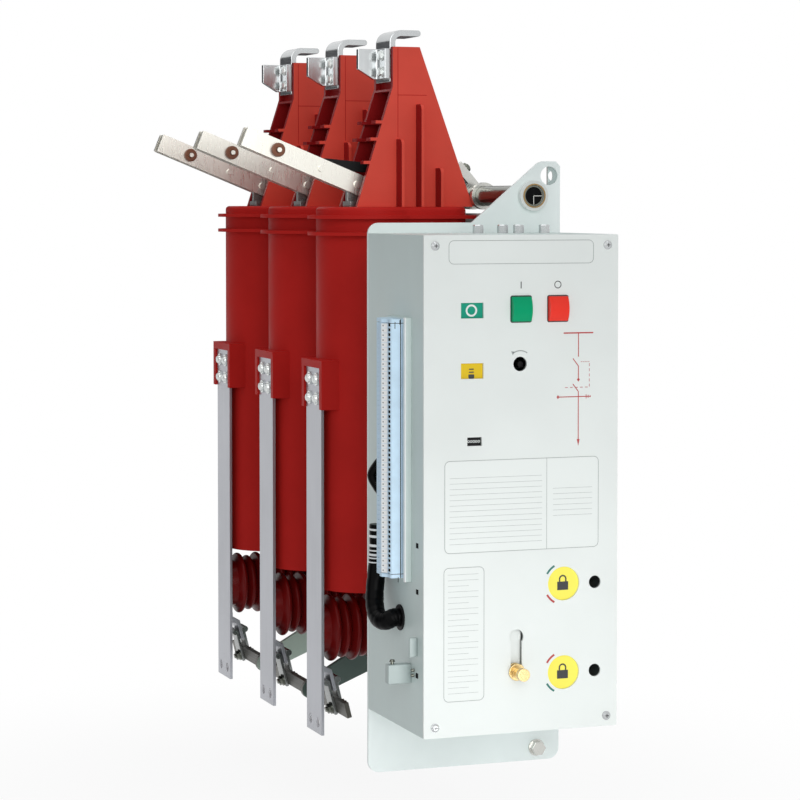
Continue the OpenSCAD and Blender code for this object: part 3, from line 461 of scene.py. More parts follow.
def spun_insulator(node):
    """Shows a post insulator as an outline of sheds, spun round its axis along X."""
    low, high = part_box(node)
    middle = (low + high) / 2
    length, big = high.x - low.x, (high.z - low.z) / 2
    core, ends, sheds, tip = 31 * MM, 10 * MM, 8, 3.4 * MM
    pitch = (length - 2 * ends) / sheds
    outline = [(0, 0), (0, core)]
    for k in range(sheds):
        centre = ends + (k + 0.5) * pitch
        reach = big if k % 2 == 0 else big - 4 * MM
        root = core + 1.5 * MM
        outline += [(centre - pitch / 2, root), (centre - pitch * 0.4, root + 2.5 * MM)]
        for step in range(7):
            turn = math.radians(-75 + 25 * step)
            outline.append((centre + tip * math.sin(turn), reach - tip + tip * math.cos(turn)))
        outline += [(centre + pitch * 0.4, root + 2.5 * MM)]
    outline += [(length - ends, core + 1.5 * MM), (length, core), (length, 0)]
    bm = bmesh.new()
    points = [bm.verts.new((low.x + along, middle.y, middle.z + out)) for along, out in outline]
    edges = [bm.edges.new(pair) for pair in zip(points, points[1:])]
    bmesh.ops.spin(bm, geom=points + edges, cent=(0, middle.y, middle.z), axis=(1, 0, 0), angle=2 * math.pi,
                   steps=TURNS, use_merge=True)
    bmesh.ops.remove_doubles(bm, verts=bm.verts, dist=MERGE)
    bmesh.ops.recalc_face_normals(bm, faces=bm.faces)
    # The sheds take the darker epoxy copy, painted shade
    piece = show(node + "_skin", bm, "breaker", SHED_SHADE)
    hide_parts(node)


for i in POLES:
    spun_insulator(f"post_insulator_{i}")
print("insulators spun")

# %% [markdown]
# Small shapes share a few helpers: a box, a round bar between two points, a hexagon bolt on a washer, a domed bolt
# head, and a flat strip that follows a line. Many of them go into one mesh, so that a row of bolts is a single piece.

# %% Helpers for small shapes


def add_box(bm, low, high):
    low, high = Vector(low), Vector(high)
    spot = Matrix.Translation((low + high) / 2) @ Matrix.Diagonal((*(high - low), 1))
    bmesh.ops.create_cube(bm, size=1, matrix=spot)


def add_bar(bm, start, end, radius, end_radius=None, sides=24):
    start, end = Vector(start), Vector(end)
    turn = (end - start).to_track_quat("Z", "Y").to_matrix().to_4x4()
    bmesh.ops.create_cone(bm, cap_ends=True, segments=sides, radius1=radius, depth=(end - start).length,
                          radius2=radius if end_radius is None else end_radius,
                          matrix=Matrix.Translation((start + end) / 2) @ turn)


def add_bolt(bm, place, axis, size, shank=0.0):
    """A hexagon bolt of a thread size in millimetres, on a washer, with its thread end beyond a nut if asked."""
    place, axis, d = Vector(place), Vector(axis).normalized(), size * MM
    add_bar(bm, place - axis * 0.1 * MM, place + axis * 0.2 * d, 1.15 * d)
    add_bar(bm, place + axis * 0.2 * d, place + axis * 0.75 * d, 0.95 * d, sides=6)
    add_bar(bm, place + axis * 0.75 * d, place + axis * 0.86 * d, 0.93 * d, 0.72 * d, sides=6)
    if shank:
        add_bar(bm, place + axis * 0.8 * d, place + axis * (0.86 * d + shank * MM), 0.48 * d)


def add_dome(bm, place, axis, radius, height):
    """A round bolt head: a washer with a dome on it."""
    place, axis = Vector(place), Vector(axis).normalized()
    add_bar(bm, place, place + axis * 0.3 * height, radius)
    levels = [math.radians(22.5 * k) for k in range(5)]
    for a, b in zip(levels, levels[1:]):
        foot, top = (place + axis * height * (0.3 + 0.7 * math.sin(t)) for t in (a, b))
        add_bar(bm, foot, top, 0.75 * radius * math.cos(a), 0.75 * radius * max(0.05, math.cos(b)))


def add_prism(bm, outline, axis, low, high):
    """A flat outline, given in the two other axes, drawn out along an axis."""
    def point(p, t):
        return {"X": (t, p[0], p[1]), "Y": (p[0], t, p[1]), "Z": (p[0], p[1], t)}[axis]
    near = [bm.verts.new(point(p, low)) for p in outline]
    far = [bm.verts.new(point(p, high)) for p in outline]
    faces = [bm.faces.new(near), bm.faces.new(far[::-1])]
    for k in range(len(outline)):
        n = (k + 1) % len(outline)
        faces.append(bm.faces.new((near[n], near[k], far[k], far[n])))
    bmesh.ops.recalc_face_normals(bm, faces=faces)


def add_ring(bm, x, z, inner, outer, y0, y1, sides=48):
    """A flat ring round an axis along Y."""
    turns = [2 * math.pi * k / sides for k in range(sides)]
    loops = [[bm.verts.new((x + r * math.cos(t), y, z + r * math.sin(t))) for t in turns]
             for r, y in ((inner, y0), (outer, y0), (outer, y1), (inner, y1))]
    faces = []
    for a, b in zip(loops, loops[1:] + loops[:1]):
        for k in range(sides):
            n = (k + 1) % sides
            faces.append(bm.faces.new((a[k], a[n], b[n], b[k])))
    bmesh.ops.recalc_face_normals(bm, faces=faces)


panel_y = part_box("front_panel")[0].y
PRINT = 0.12 * MM
# Each line lies a hair in front of the one before, so that lines that cross don't share a face
HAIR, HAIRS = 0.002 * MM, 40
# Flags and the counter lie this far behind the panel's face
FLAG_DEPTH = 3 * MM


def print_line(bm, points, width, closed=False):
    """A printed line on the front panel, through points given as X and Z in millimetres, mitred at its corners."""
    points = [Vector((x, 0, z)) * MM for x, z in points]
    count = len(points)
    front = panel_y - PRINT - HAIR * (len(bm.faces) % HAIRS)
    rims = []
    for k, point in enumerate(points):
        steps = [b - a for a, b, inside in ((points[k - 1], point, closed or k > 0),
                                            (point, points[(k + 1) % count], closed or k < count - 1)) if inside]
        ahead = sum((s.normalized() for s in steps), Vector()).normalized()
        across = Vector((-ahead.z, 0, ahead.x))
        reach = width * MM / 2 / max(0.5, ahead.dot(steps[0].normalized()))
        rims.append([bm.verts.new((point + across * side * reach) + Vector((0, front, 0))) for side in (1, -1)])
    for a, b in zip(rims, rims[1:] + (rims[:1] if closed else [])):
        bm.faces.new((a[0], a[1], b[1], b[0]))


def print_patch(bm, outline, thick=PRINT):
    """A printed area on the front panel, inside an outline in millimetres."""
    add_prism(bm, [(x * MM, z * MM) for x, z in outline], "Y", panel_y - thick, panel_y)


def sink(bm):
    """Moves print from the panel's face back onto the flags."""
    for vert in bm.verts:
        vert.co.y += FLAG_DEPTH


def arc(x, z, radius, start, end, steps=16):
    """Points of an arc between two angles in degrees."""
    turns = [math.radians(start + (end - start) * k / steps) for k in range(steps + 1)]
    return [(x + radius * math.cos(t), z + radius * math.sin(t)) for t in turns]


def frame_of(x0, z0, x1, z1, r=0.0):
    """The corners of a frame, rounded if asked."""
    if not r:
        return [(x0, z0), (x1, z0), (x1, z1), (x0, z1)]
    return (arc(x0 + r, z0 + r, r, 180, 270, 6) + arc(x1 - r, z0 + r, r, 270, 360, 6)
            + arc(x1 - r, z1 - r, r, 0, 90, 6) + arc(x0 + r, z1 - r, r, 90, 180, 6))


print("helpers ready")

# %% [markdown]
# The front panel carries label frames with ruled lines in them, printed in thin ink. A picture could be laid on the
# panel instead, but raised strips of mesh stay sharp at any distance and need no image. All places on the panel are X
# and Z in millimetres.

# %% Label frames
TOP_LABEL, NAMEPLATE, SIDE_LABEL = (-223, 258, -41, 285), (-228, -77, -34, 30), (-229, -250, -179, -94)
LABEL_CORNER, NAMEPLATE_SPLIT, FILM = 6, -100, 0.06 * MM


def ruled_rows(bm, left, right, top, step, count, short=0):
    """Ruled lines at even distances. Every third one can be shorter."""
    for row in range(count):
        z = top - step * row
        print_line(bm, [(left, z), (right - short * (row % 3 == 2), z)], 0.3)


label = bmesh.new()
print_patch(label, frame_of(*NAMEPLATE, LABEL_CORNER), FILM)
show("nameplate_film", label, "breaker", LABEL)

grey = bmesh.new()
for outline in (TOP_LABEL, NAMEPLATE, SIDE_LABEL):
    print_line(grey, frame_of(*outline, LABEL_CORNER), 0.6, closed=True)
print_line(grey, [(NAMEPLATE_SPLIT, NAMEPLATE[1]), (NAMEPLATE_SPLIT, NAMEPLATE[3])], 0.5)
ruled_rows(grey, -222, -106, 10, 6.4, 13)
ruled_rows(grey, -92, -42, -6, 6.4, 6)
ruled_rows(grey, -224, -186, -102, 6.6, 22, short=12)
show("label_frames", grey, "breaker", INK_GREY)
print("label frames printed")

# %% [markdown]
# The single-line diagram shows the busbar, the isolator, the breaker and the earthing switch as one path, with dashes
# for the links between them. Each stroke is the same printed strip, mitred where it turns.

# %% Single-line diagram
red = bmesh.new()
print_line(red, [(-79, 176), (-41, 176)], 1.6)
print_line(red, [(-60, 176), (-60, 148)], 1.1)
print_line(red, [(-67, 146), (-60, 137), (-60, 120)], 1.1)
print_line(red, [(-67, 116), (-60, 107), (-60, 50)], 1.1)
print_line(red, [(-87, 101), (-44, 101)], 1.1)
for k in range(5):
    print_line(red, [(-57 + 2.4 * k, 142), (-55.6 + 2.4 * k, 142)], 0.7)
    print_line(red, [(-46, 140 - 6 * k), (-46, 136.5 - 6 * k)], 0.7)
    print_line(red, [(-48 - 6.4 * k, 112), (-51.5 - 6.4 * k, 112)], 0.7)
for k, tall in enumerate((5, 3.6, 2.2)):
    print_line(red, [(-50 + 2.6 * k, 101 - tall / 2), (-50 + 2.6 * k, 101 + tall / 2)], 0.9)
for z in (101, 121):
    x = -86 if z == 101 else -60
    print_patch(red, [(x - 1.8, z), (x, z - 2.4), (x + 1.8, z), (x, z + 2.4)])
print_patch(red, [(-61.8, 51), (-58.2, 51), (-60, 43)])
show("single_line_diagram", red, "breaker", INK_RED)
print("diagram printed")

# %% [markdown]
# Arcs beside the two round shutters tell their two positions. The buttons have the plain marks for on and off, and an
# arrow shows which way the charging handle turns. An arc is a row of points, so one helper draws all of them.

# %% Marks on the panel
DISC_X, DISC_Z = -78, (-119, -224)
ARC_RADIUS, ARC_WIDTH = 24.5, 2.4
green_arcs, red_arcs = bmesh.new(), bmesh.new()
for z, upper, lower in zip(DISC_Z, (green_arcs, red_arcs), (red_arcs, green_arcs)):
    print_line(upper, arc(DISC_X, z, ARC_RADIUS, 119, 150), ARC_WIDTH)
    print_line(lower, arc(DISC_X, z, ARC_RADIUS, 210, 241), ARC_WIDTH)
show("shutter_arcs_green", green_arcs, "breaker", INK_GREEN)
show("shutter_arcs_red", red_arcs, "breaker", INK_RED)

black = bmesh.new()
print_line(black, [(-133, 229), (-133, 237)], 1.2)
print_line(black, arc(-86.5, 233, 4, 0, 345, 23), 1.0, closed=True)
show("button_marks", black, "breaker", INK_BLACK)
arrow = bmesh.new()
print_line(arrow, arc(-134, 141, 15.5, 55, 125), 1.2)
print_patch(arrow, [(-145.5, 156), (-141, 155.5), (-143.5, 151.5)])
show("charging_arrow", arrow, "breaker", INK_GREY)
print("marks printed")

# %% [markdown]
# A dark frame of painted shade runs round each button for its gap, and the end of the charging shaft shows behind
# its hole. The gap could be cut, but the painted shade reads the same at this size and leaves the imported panel
# whole. The flags, the shutters and the counter lie a little behind the panel's face, so their marks are drawn on
# the face and then moved back.

# %% Buttons, flags and counter
BUTTON_GAP, FLAG_X = 0.8, -194
gaps = bmesh.new()
for button in ("close_button", "open_button"):
    proud = [v.co / MM for v in nodes[button].data.vertices if v.co.y < panel_y - 1 * MM]
    xs, zs = [p.x for p in proud], [p.z for p in proud]
    outline = frame_of(min(xs) - BUTTON_GAP, min(zs) - BUTTON_GAP, max(xs) + BUTTON_GAP, max(zs) + BUTTON_GAP, 2)
    print_line(gaps, outline, 1.1, closed=True)
# The frames round the buttons are painted shade, in the black ink's finish
show("button_gap_shade", gaps, "breaker", INK_BLACK)
stub = bmesh.new()
add_bar(stub, (-130 * MM, panel_y + 9 * MM, 140 * MM), (-130 * MM, panel_y + 30 * MM, 140 * MM), 3.5 * MM)
show("charging_shaft_end", stub, "breaker", FINISH["black_plastic"])

ring = bmesh.new()
print_line(ring, arc(FLAG_X, 204, 6, 0, 350, 35), 2.2, closed=True)
sink(ring)
show("flag_ring", ring, "breaker", LABEL)

marks = bmesh.new()
for z in DISC_Z:
    print_patch(marks, frame_of(DISC_X - 7, z - 8, DISC_X + 7, z + 2))
    print_line(marks, [(DISC_X - 4, z + 2)] + arc(DISC_X, z + 5, 4, 180, 0, 12) + [(DISC_X + 4, z + 2)], 1.8)
for z in (136, 132.5):
    print_line(marks, [(FLAG_X - 3, z), (FLAG_X + 3, z)], 1.4)
print_patch(marks, arc(FLAG_X, 128, 4, 200, 340, 10) + [(FLAG_X + 3.5, 130), (FLAG_X - 3.5, 130)])
sink(marks)
show("lock_and_spring_marks", marks, "breaker", INK_BLACK)

DIGITS, DIGIT_LEFT, DIGIT_PITCH = 5, -197.4, 3.2
digits = bmesh.new()
for k in range(DIGITS):
    print_line(digits, arc(DIGIT_LEFT + DIGIT_PITCH * k, 52, 1.2, 0, 324, 9), 0.6, closed=True)
sink(digits)
show("counter_digits", digits, "breaker", LABEL)

slider = bmesh.new()
add_box(slider, (-146 * MM, panel_y + 7 * MM, -234 * MM), (-130 * MM, panel_y + 8 * MM, -166 * MM))
show("interlock_slider", slider, "interlock_knob", FINISH["panel"])
print("flags marked, digits:", DIGITS)

# %% [markdown]
# Bolts and screws sit where pieces are joined. Each row of bolts is drawn on the face that it clamps, and rides on
# the same body as that piece.

# %% Screws and bolts of the case
SCREW_SPOTS = ((-240, 279), (-23, 279), (-240, -279), (-23, -279))
SCREW_COLLAR, SCREW_CROWN = Vector((0, -1.4 * MM, 0)), Vector((0, -3.4 * MM, 0))
BOLT_SHOULDER, BOLT_TOP = Vector((0, 0, 9.4 * MM)), Vector((0, 0, 10.2 * MM))
screws = bmesh.new()
for x, z in SCREW_SPOTS:
    start = Vector((x * MM, panel_y, z * MM))
    add_bar(screws, start, start + SCREW_COLLAR, 5.2 * MM)
    add_bar(screws, start + SCREW_COLLAR, start + SCREW_CROWN, 5.0 * MM, 2.8 * MM)
show("panel_screws", screws, "breaker", CHROME)
case_low, case_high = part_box("mechanism_case")
heads = bmesh.new()
for x in (-132, -100, -79, -45):
    foot = Vector((x * MM, -470 * MM, case_high.z))
    add_bar(heads, foot, foot + BOLT_SHOULDER, 6.6 * MM, sides=6)
    add_bar(heads, foot + BOLT_SHOULDER, foot + BOLT_TOP, 6.4 * MM, 5.4 * MM, sides=6)
show("case_bolts", heads, "breaker", CHROME)
# Dark crosses on the screw heads: painted shade for their slots
slots = bmesh.new()
for x, z in SCREW_SPOTS:
    for wide, tall in ((2.2, 0.4), (0.4, 2.2)):
        add_box(slots, ((x - wide) * MM, panel_y - 3.6 * MM, (z - tall) * MM),
                ((x + wide) * MM, panel_y - 3.3 * MM, (z + tall) * MM))
show("screw_slot_shade", slots, "breaker", HOLE)
print("panel screws:", len(SCREW_SPOTS))

# %% [markdown]
# Four domed bolts hold each load bar and two hexagon bolts hold each fixed contact. A dome is a short stack of cones,
# which is enough for its highlight. Fine seams on the front of a tower show where its mould closed.

# %% Terminal bolts and tower seams
PITCH, TOWER_HALF, SEAM = 210 * MM, 36 * MM, 0.35 * MM


def pole_y(i):
    """The place of a pole along the row."""
    return PITCH * (i - 2)


terminal_bolts = bmesh.new()
for i in POLES:
    bar_low, bar_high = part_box(f"load_bar_{i}")
    middle = (bar_low.y + bar_high.y) / 2
    for y in (middle - 14 * MM, middle + 14 * MM):
        for z in (bar_high.z - 15 * MM, bar_high.z - 40 * MM):
            add_dome(terminal_bolts, (bar_low.x, y, z), (-1, 0, 0), 8.5 * MM, 7 * MM)
    flange_low, flange_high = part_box(f"static_contact_{i}")
    face = flange_high.x - 8 * MM
    for z in (flange_high.z - 9 * MM, flange_high.z - 30 * MM):
        add_bolt(terminal_bolts, (face, flange_low.y + 11 * MM, z), (-1, 0, 0), 6)
show("terminal_bolts", terminal_bolts, "breaker", SCREW)

seams = bmesh.new()
for i in POLES:
    low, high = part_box(f"tower_{i}")
    face_y = pole_y(i) - TOWER_HALF
    rim_x = [v.co.x for v in nodes[f"tower_{i}"].data.vertices if v.co.z > high.z - 1 * MM]
    left, right = min(rim_x) + 7 * MM, max(rim_x)
    level = high.z - 62 * MM
    for start, end in (((left, low.z + 90 * MM), (left, high.z - 2 * MM)), ((left, level), (right + 9 * MM, level))):
        add_box(seams, (start[0] - SEAM, face_y - 0.2 * MM, start[1] - SEAM),
                (end[0] + SEAM, face_y + 0.1 * MM, end[1] + SEAM))
show("tower_seams", seams, "breaker", FINISH["epoxy"])
print("terminal bolts and seams set")

# %% [markdown]
# Each lever is clamped to its shaft by a bolt that stands square to the lever's edge, and a dark strip along its
# front is painted shade for a slit. The earthing fingers are bolted from both sides of the cross bar.

# %% Clamp levers and earthing fingers


def turned(degrees):
    """A direction in the upright plane that the switches move in."""
    return Vector((math.cos(math.radians(degrees)), 0, math.sin(math.radians(degrees))))


lever_bolts = bmesh.new()
shaft_axis = Vector((SHAFT_AXIS[0], 0, SHAFT_AXIS[1]))
LEVER_ANGLE, FINGER_ANGLE = 131, 14
up_lever, off_lever, out_of_bar = turned(LEVER_ANGLE), turned(LEVER_ANGLE - 90), turned(FINGER_ANGLE)
for i in POLES:
    spot = shaft_axis + Vector((0, pole_y(i), 0)) + up_lever * 33 * MM + off_lever * 16 * MM
    add_bolt(lever_bolts, spot, off_lever, 7, shank=1)
show("lever_bolts", lever_bolts, "isolator_shaft", SHAFT)

# A dark strip on each lever's front: painted shade for its slit
slits = bmesh.new()
lever_reach = [v.co for v in nodes["isolator_shaft"].data.vertices if off_axis(v.co, *SHAFT_AXIS) > 30 * MM]
for i in POLES:
    face_y = min(p.y for p in lever_reach if abs(p.y - pole_y(i)) < 60 * MM)
    corners = [shaft_axis + up_lever * along * MM + off_lever * across * MM
               for along, across in ((19, 2), (44, 2), (44, 3.6), (19, 3.6))]
    add_prism(slits, [(p.x, p.z) for p in corners], "Y", face_y - 0.15 * MM, face_y + 0.3 * MM)
show("lever_slit_shade", slits, "isolator_shaft", HOLE)

finger_bolts = bmesh.new()
for i in POLES:
    spot = Vector((-227 * MM, pole_y(i), -328 * MM))
    for side in (-1, 1):
        add_bolt(finger_bolts, spot + out_of_bar * side * 7 * MM, out_of_bar * side, 7, shank=2)
show("finger_bolts", finger_bolts, "earthing_switch", SHAFT)
print("lever and finger bolts set")

# %% [markdown]
# The front end of the isolator shaft has a brass rim, a dark disc of painted shade for its socket and thin bright
# strips of painted highlight on the edges of the drive key. The lifting hole beside it shows a flange in painted
# shade, and the case's left wall has slots drawn as painted shade and a small latch.

# %% Shaft end, lifting hole and latch
bush_front, shaft_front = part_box("shaft_bush")[0].y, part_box("isolator_shaft")[0].y
rim = bmesh.new()
add_ring(rim, *SHAFT_AXIS, 13.4 * MM, 15 * MM, bush_front - 0.6 * MM, bush_front + 1 * MM)
show("bush_rim", rim, "breaker", DULL_BRASS)
socket, key = bmesh.new(), bmesh.new()
socket_front, socket_back = (shaft_axis + Vector((0, shaft_front + depth * MM, 0)) for depth in (1, 1.8))
# A dark disc in the shaft's end: painted shade for its socket
add_bar(socket, socket_front, socket_back, 11 * MM)
show("shaft_socket_shade", socket, "isolator_shaft", HOLE)
# Two thin bright strips: painted highlights on the edges of the drive key
add_box(key, (-38 * MM, shaft_front + 0.2 * MM, 336.5 * MM), (-27.2 * MM, shaft_front + 1 * MM, 337.3 * MM))
add_box(key, (-38.4 * MM, shaft_front + 0.3 * MM, 326.2 * MM), (-37.6 * MM, shaft_front + 1 * MM, 336.4 * MM))
show("drive_key_edge_highlights", key, "isolator_shaft", BRIGHT)

EAR_HOLE_Z = 362
ear = bmesh.new()
plate_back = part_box("mounting_plate")[1].y
outer = arc(-15, EAR_HOLE_Z, 11.3, -88, 88, 20)
turns = [math.radians(t) for t in range(88, -96, -8)]
inner = [(-14 + 5.2 * math.cos(t), EAR_HOLE_Z + 8 * math.sin(t)) for t in turns]
add_prism(ear, [(x * MM, z * MM) for x, z in outer + inner], "Y", plate_back - 1.2 * MM, plate_back)
# The flange seen through the lifting hole takes the darker grey: painted shade
show("lifting_flange", ear, "breaker", SHADED)

# Dark patches on the left wall: painted shade for its slots
wall, latch = bmesh.new(), bmesh.new()
for y, z in ((-587, -69), (-587, -123), (-586, -221)):
    add_box(wall, (case_low.x - 0.15 * MM, (y - 4) * MM, (z - 3) * MM),
            (case_low.x + 0.2 * MM, (y + 4) * MM, (z + 3) * MM))
show("wall_slot_shade", wall, "breaker", HOLE)
latch_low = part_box("side_latch")[0]
knob = Vector((latch_low.x + 7 * MM, -562 * MM, -210 * MM))
add_bar(latch, knob, knob + Vector((0, 0, 4 * MM)), 2 * MM)
add_bar(latch, knob + Vector((0, 0, 3 * MM)), knob + Vector((0, 0, 5.5 * MM)), 3.6 * MM, 2.4 * MM)
for z in (-216, -222):
    add_bar(latch, (case_low.x - 1 * MM, -577 * MM, z * MM), (case_low.x - 4 * MM, -577 * MM, z * MM),
            2.2 * MM, 1.6 * MM)
show("latch_fittings", latch, "breaker", SHAFT)
print("shaft end and latch set")

# %% [markdown]
# The terminal strip stands on a rail. A groove in its front is divided into wire holes, white markers sit on its
# ridge and small steps follow at the back. Dark strips of painted shade lie at the bottom of the holes, in the gaps
# at the end caps and along the line between the strip and its rail.

# %% Terminal strip
rail_low, rail_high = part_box("terminal_strip")
wall_x = rail_high.x
strip_front = rail_low.y + 10 * MM
FACE, RIDGE, RAIL = 22 * MM, 27.5 * MM, 5.5 * MM
strip_low, strip_high = rail_low.z + 4 * MM, rail_high.z - 2 * MM
SLICES = 52
END = 5 * MM
CAP_GAP = 0.7 * MM
slice_pitch = (strip_high - strip_low - 2 * END) / SLICES
face_x = wall_x - FACE


def strip_outline(hole):
    """The strip's section, as X and Y, with or without the groove of the wire holes."""
    steps = [(RAIL - 1 * MM, 0), (FACE - 1.5 * MM, 0), (FACE, 1.5 * MM)]
    if hole:
        steps += [(FACE, 2.2 * MM), (FACE - 5 * MM, 2.2 * MM), (FACE - 5 * MM, 10.6 * MM), (FACE, 10.6 * MM)]
    steps += [(FACE, 11 * MM), (RIDGE, 17.5 * MM), (RIDGE, 24 * MM), (FACE, 28 * MM), (FACE, 31 * MM)]
    steps += [(FACE - 4 * MM, 31 * MM), (FACE - 4 * MM, 34 * MM), (FACE, 34 * MM)]
    steps += [(FACE, 50 * MM), (FACE - 6 * MM, 56 * MM), (RAIL - 1 * MM, 56 * MM)]
    return [(wall_x - out, strip_front + along) for out, along in steps]


def on_slope(share, lift):
    """A point on the sloping face that carries the markers."""
    out, along = FACE + share * (RIDGE - FACE), (11 + share * 6.5) * MM
    return Vector((wall_x - out - lift * 0.76, strip_front + along - lift * 0.65, 0))


slices, markers, dots, holes = bmesh.new(), bmesh.new(), bmesh.new(), bmesh.new()
add_prism(slices, strip_outline(True), "Z", strip_low + END, strip_high - END)
for k in range(SLICES):
    z = strip_low + END + k * slice_pitch
    add_box(slices, (face_x + 0.1 * MM, strip_front + 2.1 * MM, z),
            (face_x + 5.1 * MM, strip_front + 10.7 * MM, z + 2.1 * MM))
    add_box(slices, (face_x - 1 * MM, strip_front + 36 * MM, z), (face_x + 1 * MM, strip_front + 46 * MM, z + 3 * MM))
    plate = [on_slope(share, lift * MM) for share, lift in ((0.02, 0.5), (0.98, 0.5), (0.98, 0), (0.02, 0))]
    add_prism(markers, [(p.x, p.y) for p in plate], "Z", z + 0.2 * MM, z + slice_pitch - 0.2 * MM)
    level = Vector((0, 0, z + slice_pitch / 2))
    add_bar(dots, on_slope(0.7, 0.4 * MM) + level, on_slope(0.7, 0.6 * MM) + level, 1 * MM, sides=8)
for z0, z1 in ((strip_low, strip_low + END - CAP_GAP), (strip_high - END + CAP_GAP, strip_high)):
    add_prism(slices, strip_outline(False), "Z", z0, z1)
# Painted shade at the bottom of the wire holes and in the gaps at the end caps
add_box(holes, (face_x + 0.7 * MM, strip_front + 2.3 * MM, strip_low + END + 0.2 * MM),
        (face_x + 4.9 * MM, strip_front + 10.5 * MM, strip_high - END - 0.2 * MM))
for z in (strip_low + END - CAP_GAP, strip_high - END):
    add_box(holes, (face_x + 1 * MM, strip_front + 0.4 * MM, z),
            (wall_x - RAIL, strip_front + 40 * MM, z + CAP_GAP))
# Painted shade in the notches of the end caps and along the line between the strip and its rail
for out, low, tall in ((17, -3, 8), (11, -1, 5), (13, -strip_high / MM + strip_low / MM + 1, 6)):
    add_box(holes, (wall_x - (out + 0.4) * MM, strip_front - 0.1 * MM, strip_high + (low - tall) * MM),
            (wall_x - (out - 0.4) * MM, strip_front + 0.3 * MM, strip_high + low * MM))
add_box(holes, (wall_x - 10.6 * MM, strip_front - 0.1 * MM, strip_low),
        (wall_x - 9.6 * MM, strip_front + 0.2 * MM, strip_high))
blue = show("terminal_slices", slices, "breaker", FINISH["terminal_blue"])
show("terminal_markers", markers, "breaker", MARKER)
show("terminal_dots", dots, "breaker", INK_GREY)
show("terminal_hole_shade", holes, "breaker", HOLE)
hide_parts("terminal_strip")
print("terminal slices:", SLICES)

# %% [markdown]
# The rail behind the strip is a bent section, so its outline is drawn once and carried along its whole height. A
# white strip along its front edge is a painted highlight.

# %% Terminal rail
rail = bmesh.new()
lip, web = 2 * MM, 1.5 * MM
section = [(0, 0), (-RAIL - web, 0), (-RAIL - web, lip), (-RAIL, lip), (-RAIL, lip + web), (-web, lip + web),
           (-web, 8 * MM), (-RAIL, 8 * MM), (-RAIL, rail_high.y - rail_low.y), (0, rail_high.y - rail_low.y)]
add_prism(rail, [(wall_x + x, rail_low.y + y) for x, y in section], "Z", rail_low.z, rail_high.z)
round_edges(rail, 0.4 * MM)
show("terminal_rail", rail, "breaker", FINISH["painted_grey"])
# A white strip on the rail's front edge: painted highlight
edge = bmesh.new()
add_box(edge, (wall_x - RAIL - web - 1.4 * MM, rail_low.y + 0.2 * MM, rail_low.z),
        (wall_x - RAIL - web, rail_low.y + 5 * MM, rail_high.z))
show("rail_edge_highlight", edge, "breaker", MARKER)
print("rail set")

# %% [markdown]
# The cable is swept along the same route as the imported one, but in many more steps, and bands of white tape hold it
# near its upper end. Each ring of points is turned to face along the route. A thinner loop of wire shows above it.

# %% Cable
grommet_low, grommet_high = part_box("cable_grommet")
grommet = (grommet_low + grommet_high) / 2
route_from = Vector((case_low.x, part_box("front_panel")[1].y, grommet.z))
ROUTE = (
    (-12, 119, 106), (-12, 119, 76), (-14, 119, 51), (-16.5, 118, 32), (-19, 113, 16), (-20.5, 105, 5),
    (-20.5, 96, -2), (-19, 87, -4.5), (-15.5, 80, -4), (-12, 76, -1.5), (-9, 75, 0), (-5, 75, 0), (6, 75, 0),
)
# Radii in millimetres: the cable, its creases, the tape on it and the loop of wire
CABLE, CREASE, TAPE, WIRE = 11, 10.6, 11.2, 6
SMOOTH_STEPS, CREASE_EVERY = 6, 5


def smooth_route(points, steps):
    """Points of a curve that passes through all the given ones."""
    made = []
    for k in range(len(points) - 1):
        p = [points[max(0, min(len(points) - 1, k + shift))] for shift in (-1, 0, 1, 2)]
        for step in range(steps):
            t = step / steps
            made.append(0.5 * (2 * p[1] + (p[2] - p[0]) * t + (2 * p[0] - 5 * p[1] + 4 * p[2] - p[3]) * t ** 2
                               + (3 * p[1] - p[0] - 3 * p[2] + p[3]) * t ** 3))
    return made + [points[-1]]


def sweep(bm, route, radius_at, sides=20):
    """A closed round bar along a route, with its own radius at each point."""
    rings = []
    for k, spot in enumerate(route):
        ahead = (route[min(k + 1, len(route) - 1)] - route[max(k - 1, 0)]).normalized()
        side = ahead.cross(Vector((1, 1, 1))).normalized()
        up = ahead.cross(side)
        turns = [2 * math.pi * s / sides for s in range(sides)]
        rings.append([bm.verts.new(spot + radius_at(k) * (math.cos(t) * side + math.sin(t) * up)) for t in turns])
    for a, b in zip(rings, rings[1:]):
        for s in range(sides):
            bm.faces.new((a[s], a[(s + 1) % sides], b[(s + 1) % sides], b[s]))
    bm.faces.new(rings[0][::-1])
    bm.faces.new(rings[-1])
    bmesh.ops.recalc_face_normals(bm, faces=bm.faces)


route = smooth_route([route_from + Vector(p) * MM for p in ROUTE], SMOOTH_STEPS)
cable = bmesh.new()
sweep(cable, route, lambda k: (CABLE if k % CREASE_EVERY else CREASE) * MM)
cable_piece = show("cable", cable, "breaker", FINISH["black_sheath"])
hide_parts("cable_harness")
loop = bmesh.new()
loop_points = [Vector((wall_x, strip_front, 0)) + Vector(p) * MM for p in (
    (-8, 62, 26), (-13, 72, 16), (-17, 80, 3), (-13, 72, -10), (-8, 62, -20))]
sweep(loop, smooth_route(loop_points, SMOOTH_STEPS), lambda k: WIRE * MM, 14)
show("wire_loop", loop, "breaker", FINISH["black_sheath"])
wrap = bmesh.new()
for height, thick in ((100, 2.3), (92, 3), (81, 3), (75, 1.6), (70, 2.6), (66, 1.5), (61, 1.4)):
    spot = route_from + Vector((-12 - 2 * max(0, (76 - height) / 25), 119, height)) * MM
    half = Vector((0, 0, thick / 2 * MM))
    add_bar(wrap, spot - half, spot + half, TAPE * MM)
show("cable_wrap", wrap, "breaker", MARKER)
print("cable points:", len(route))

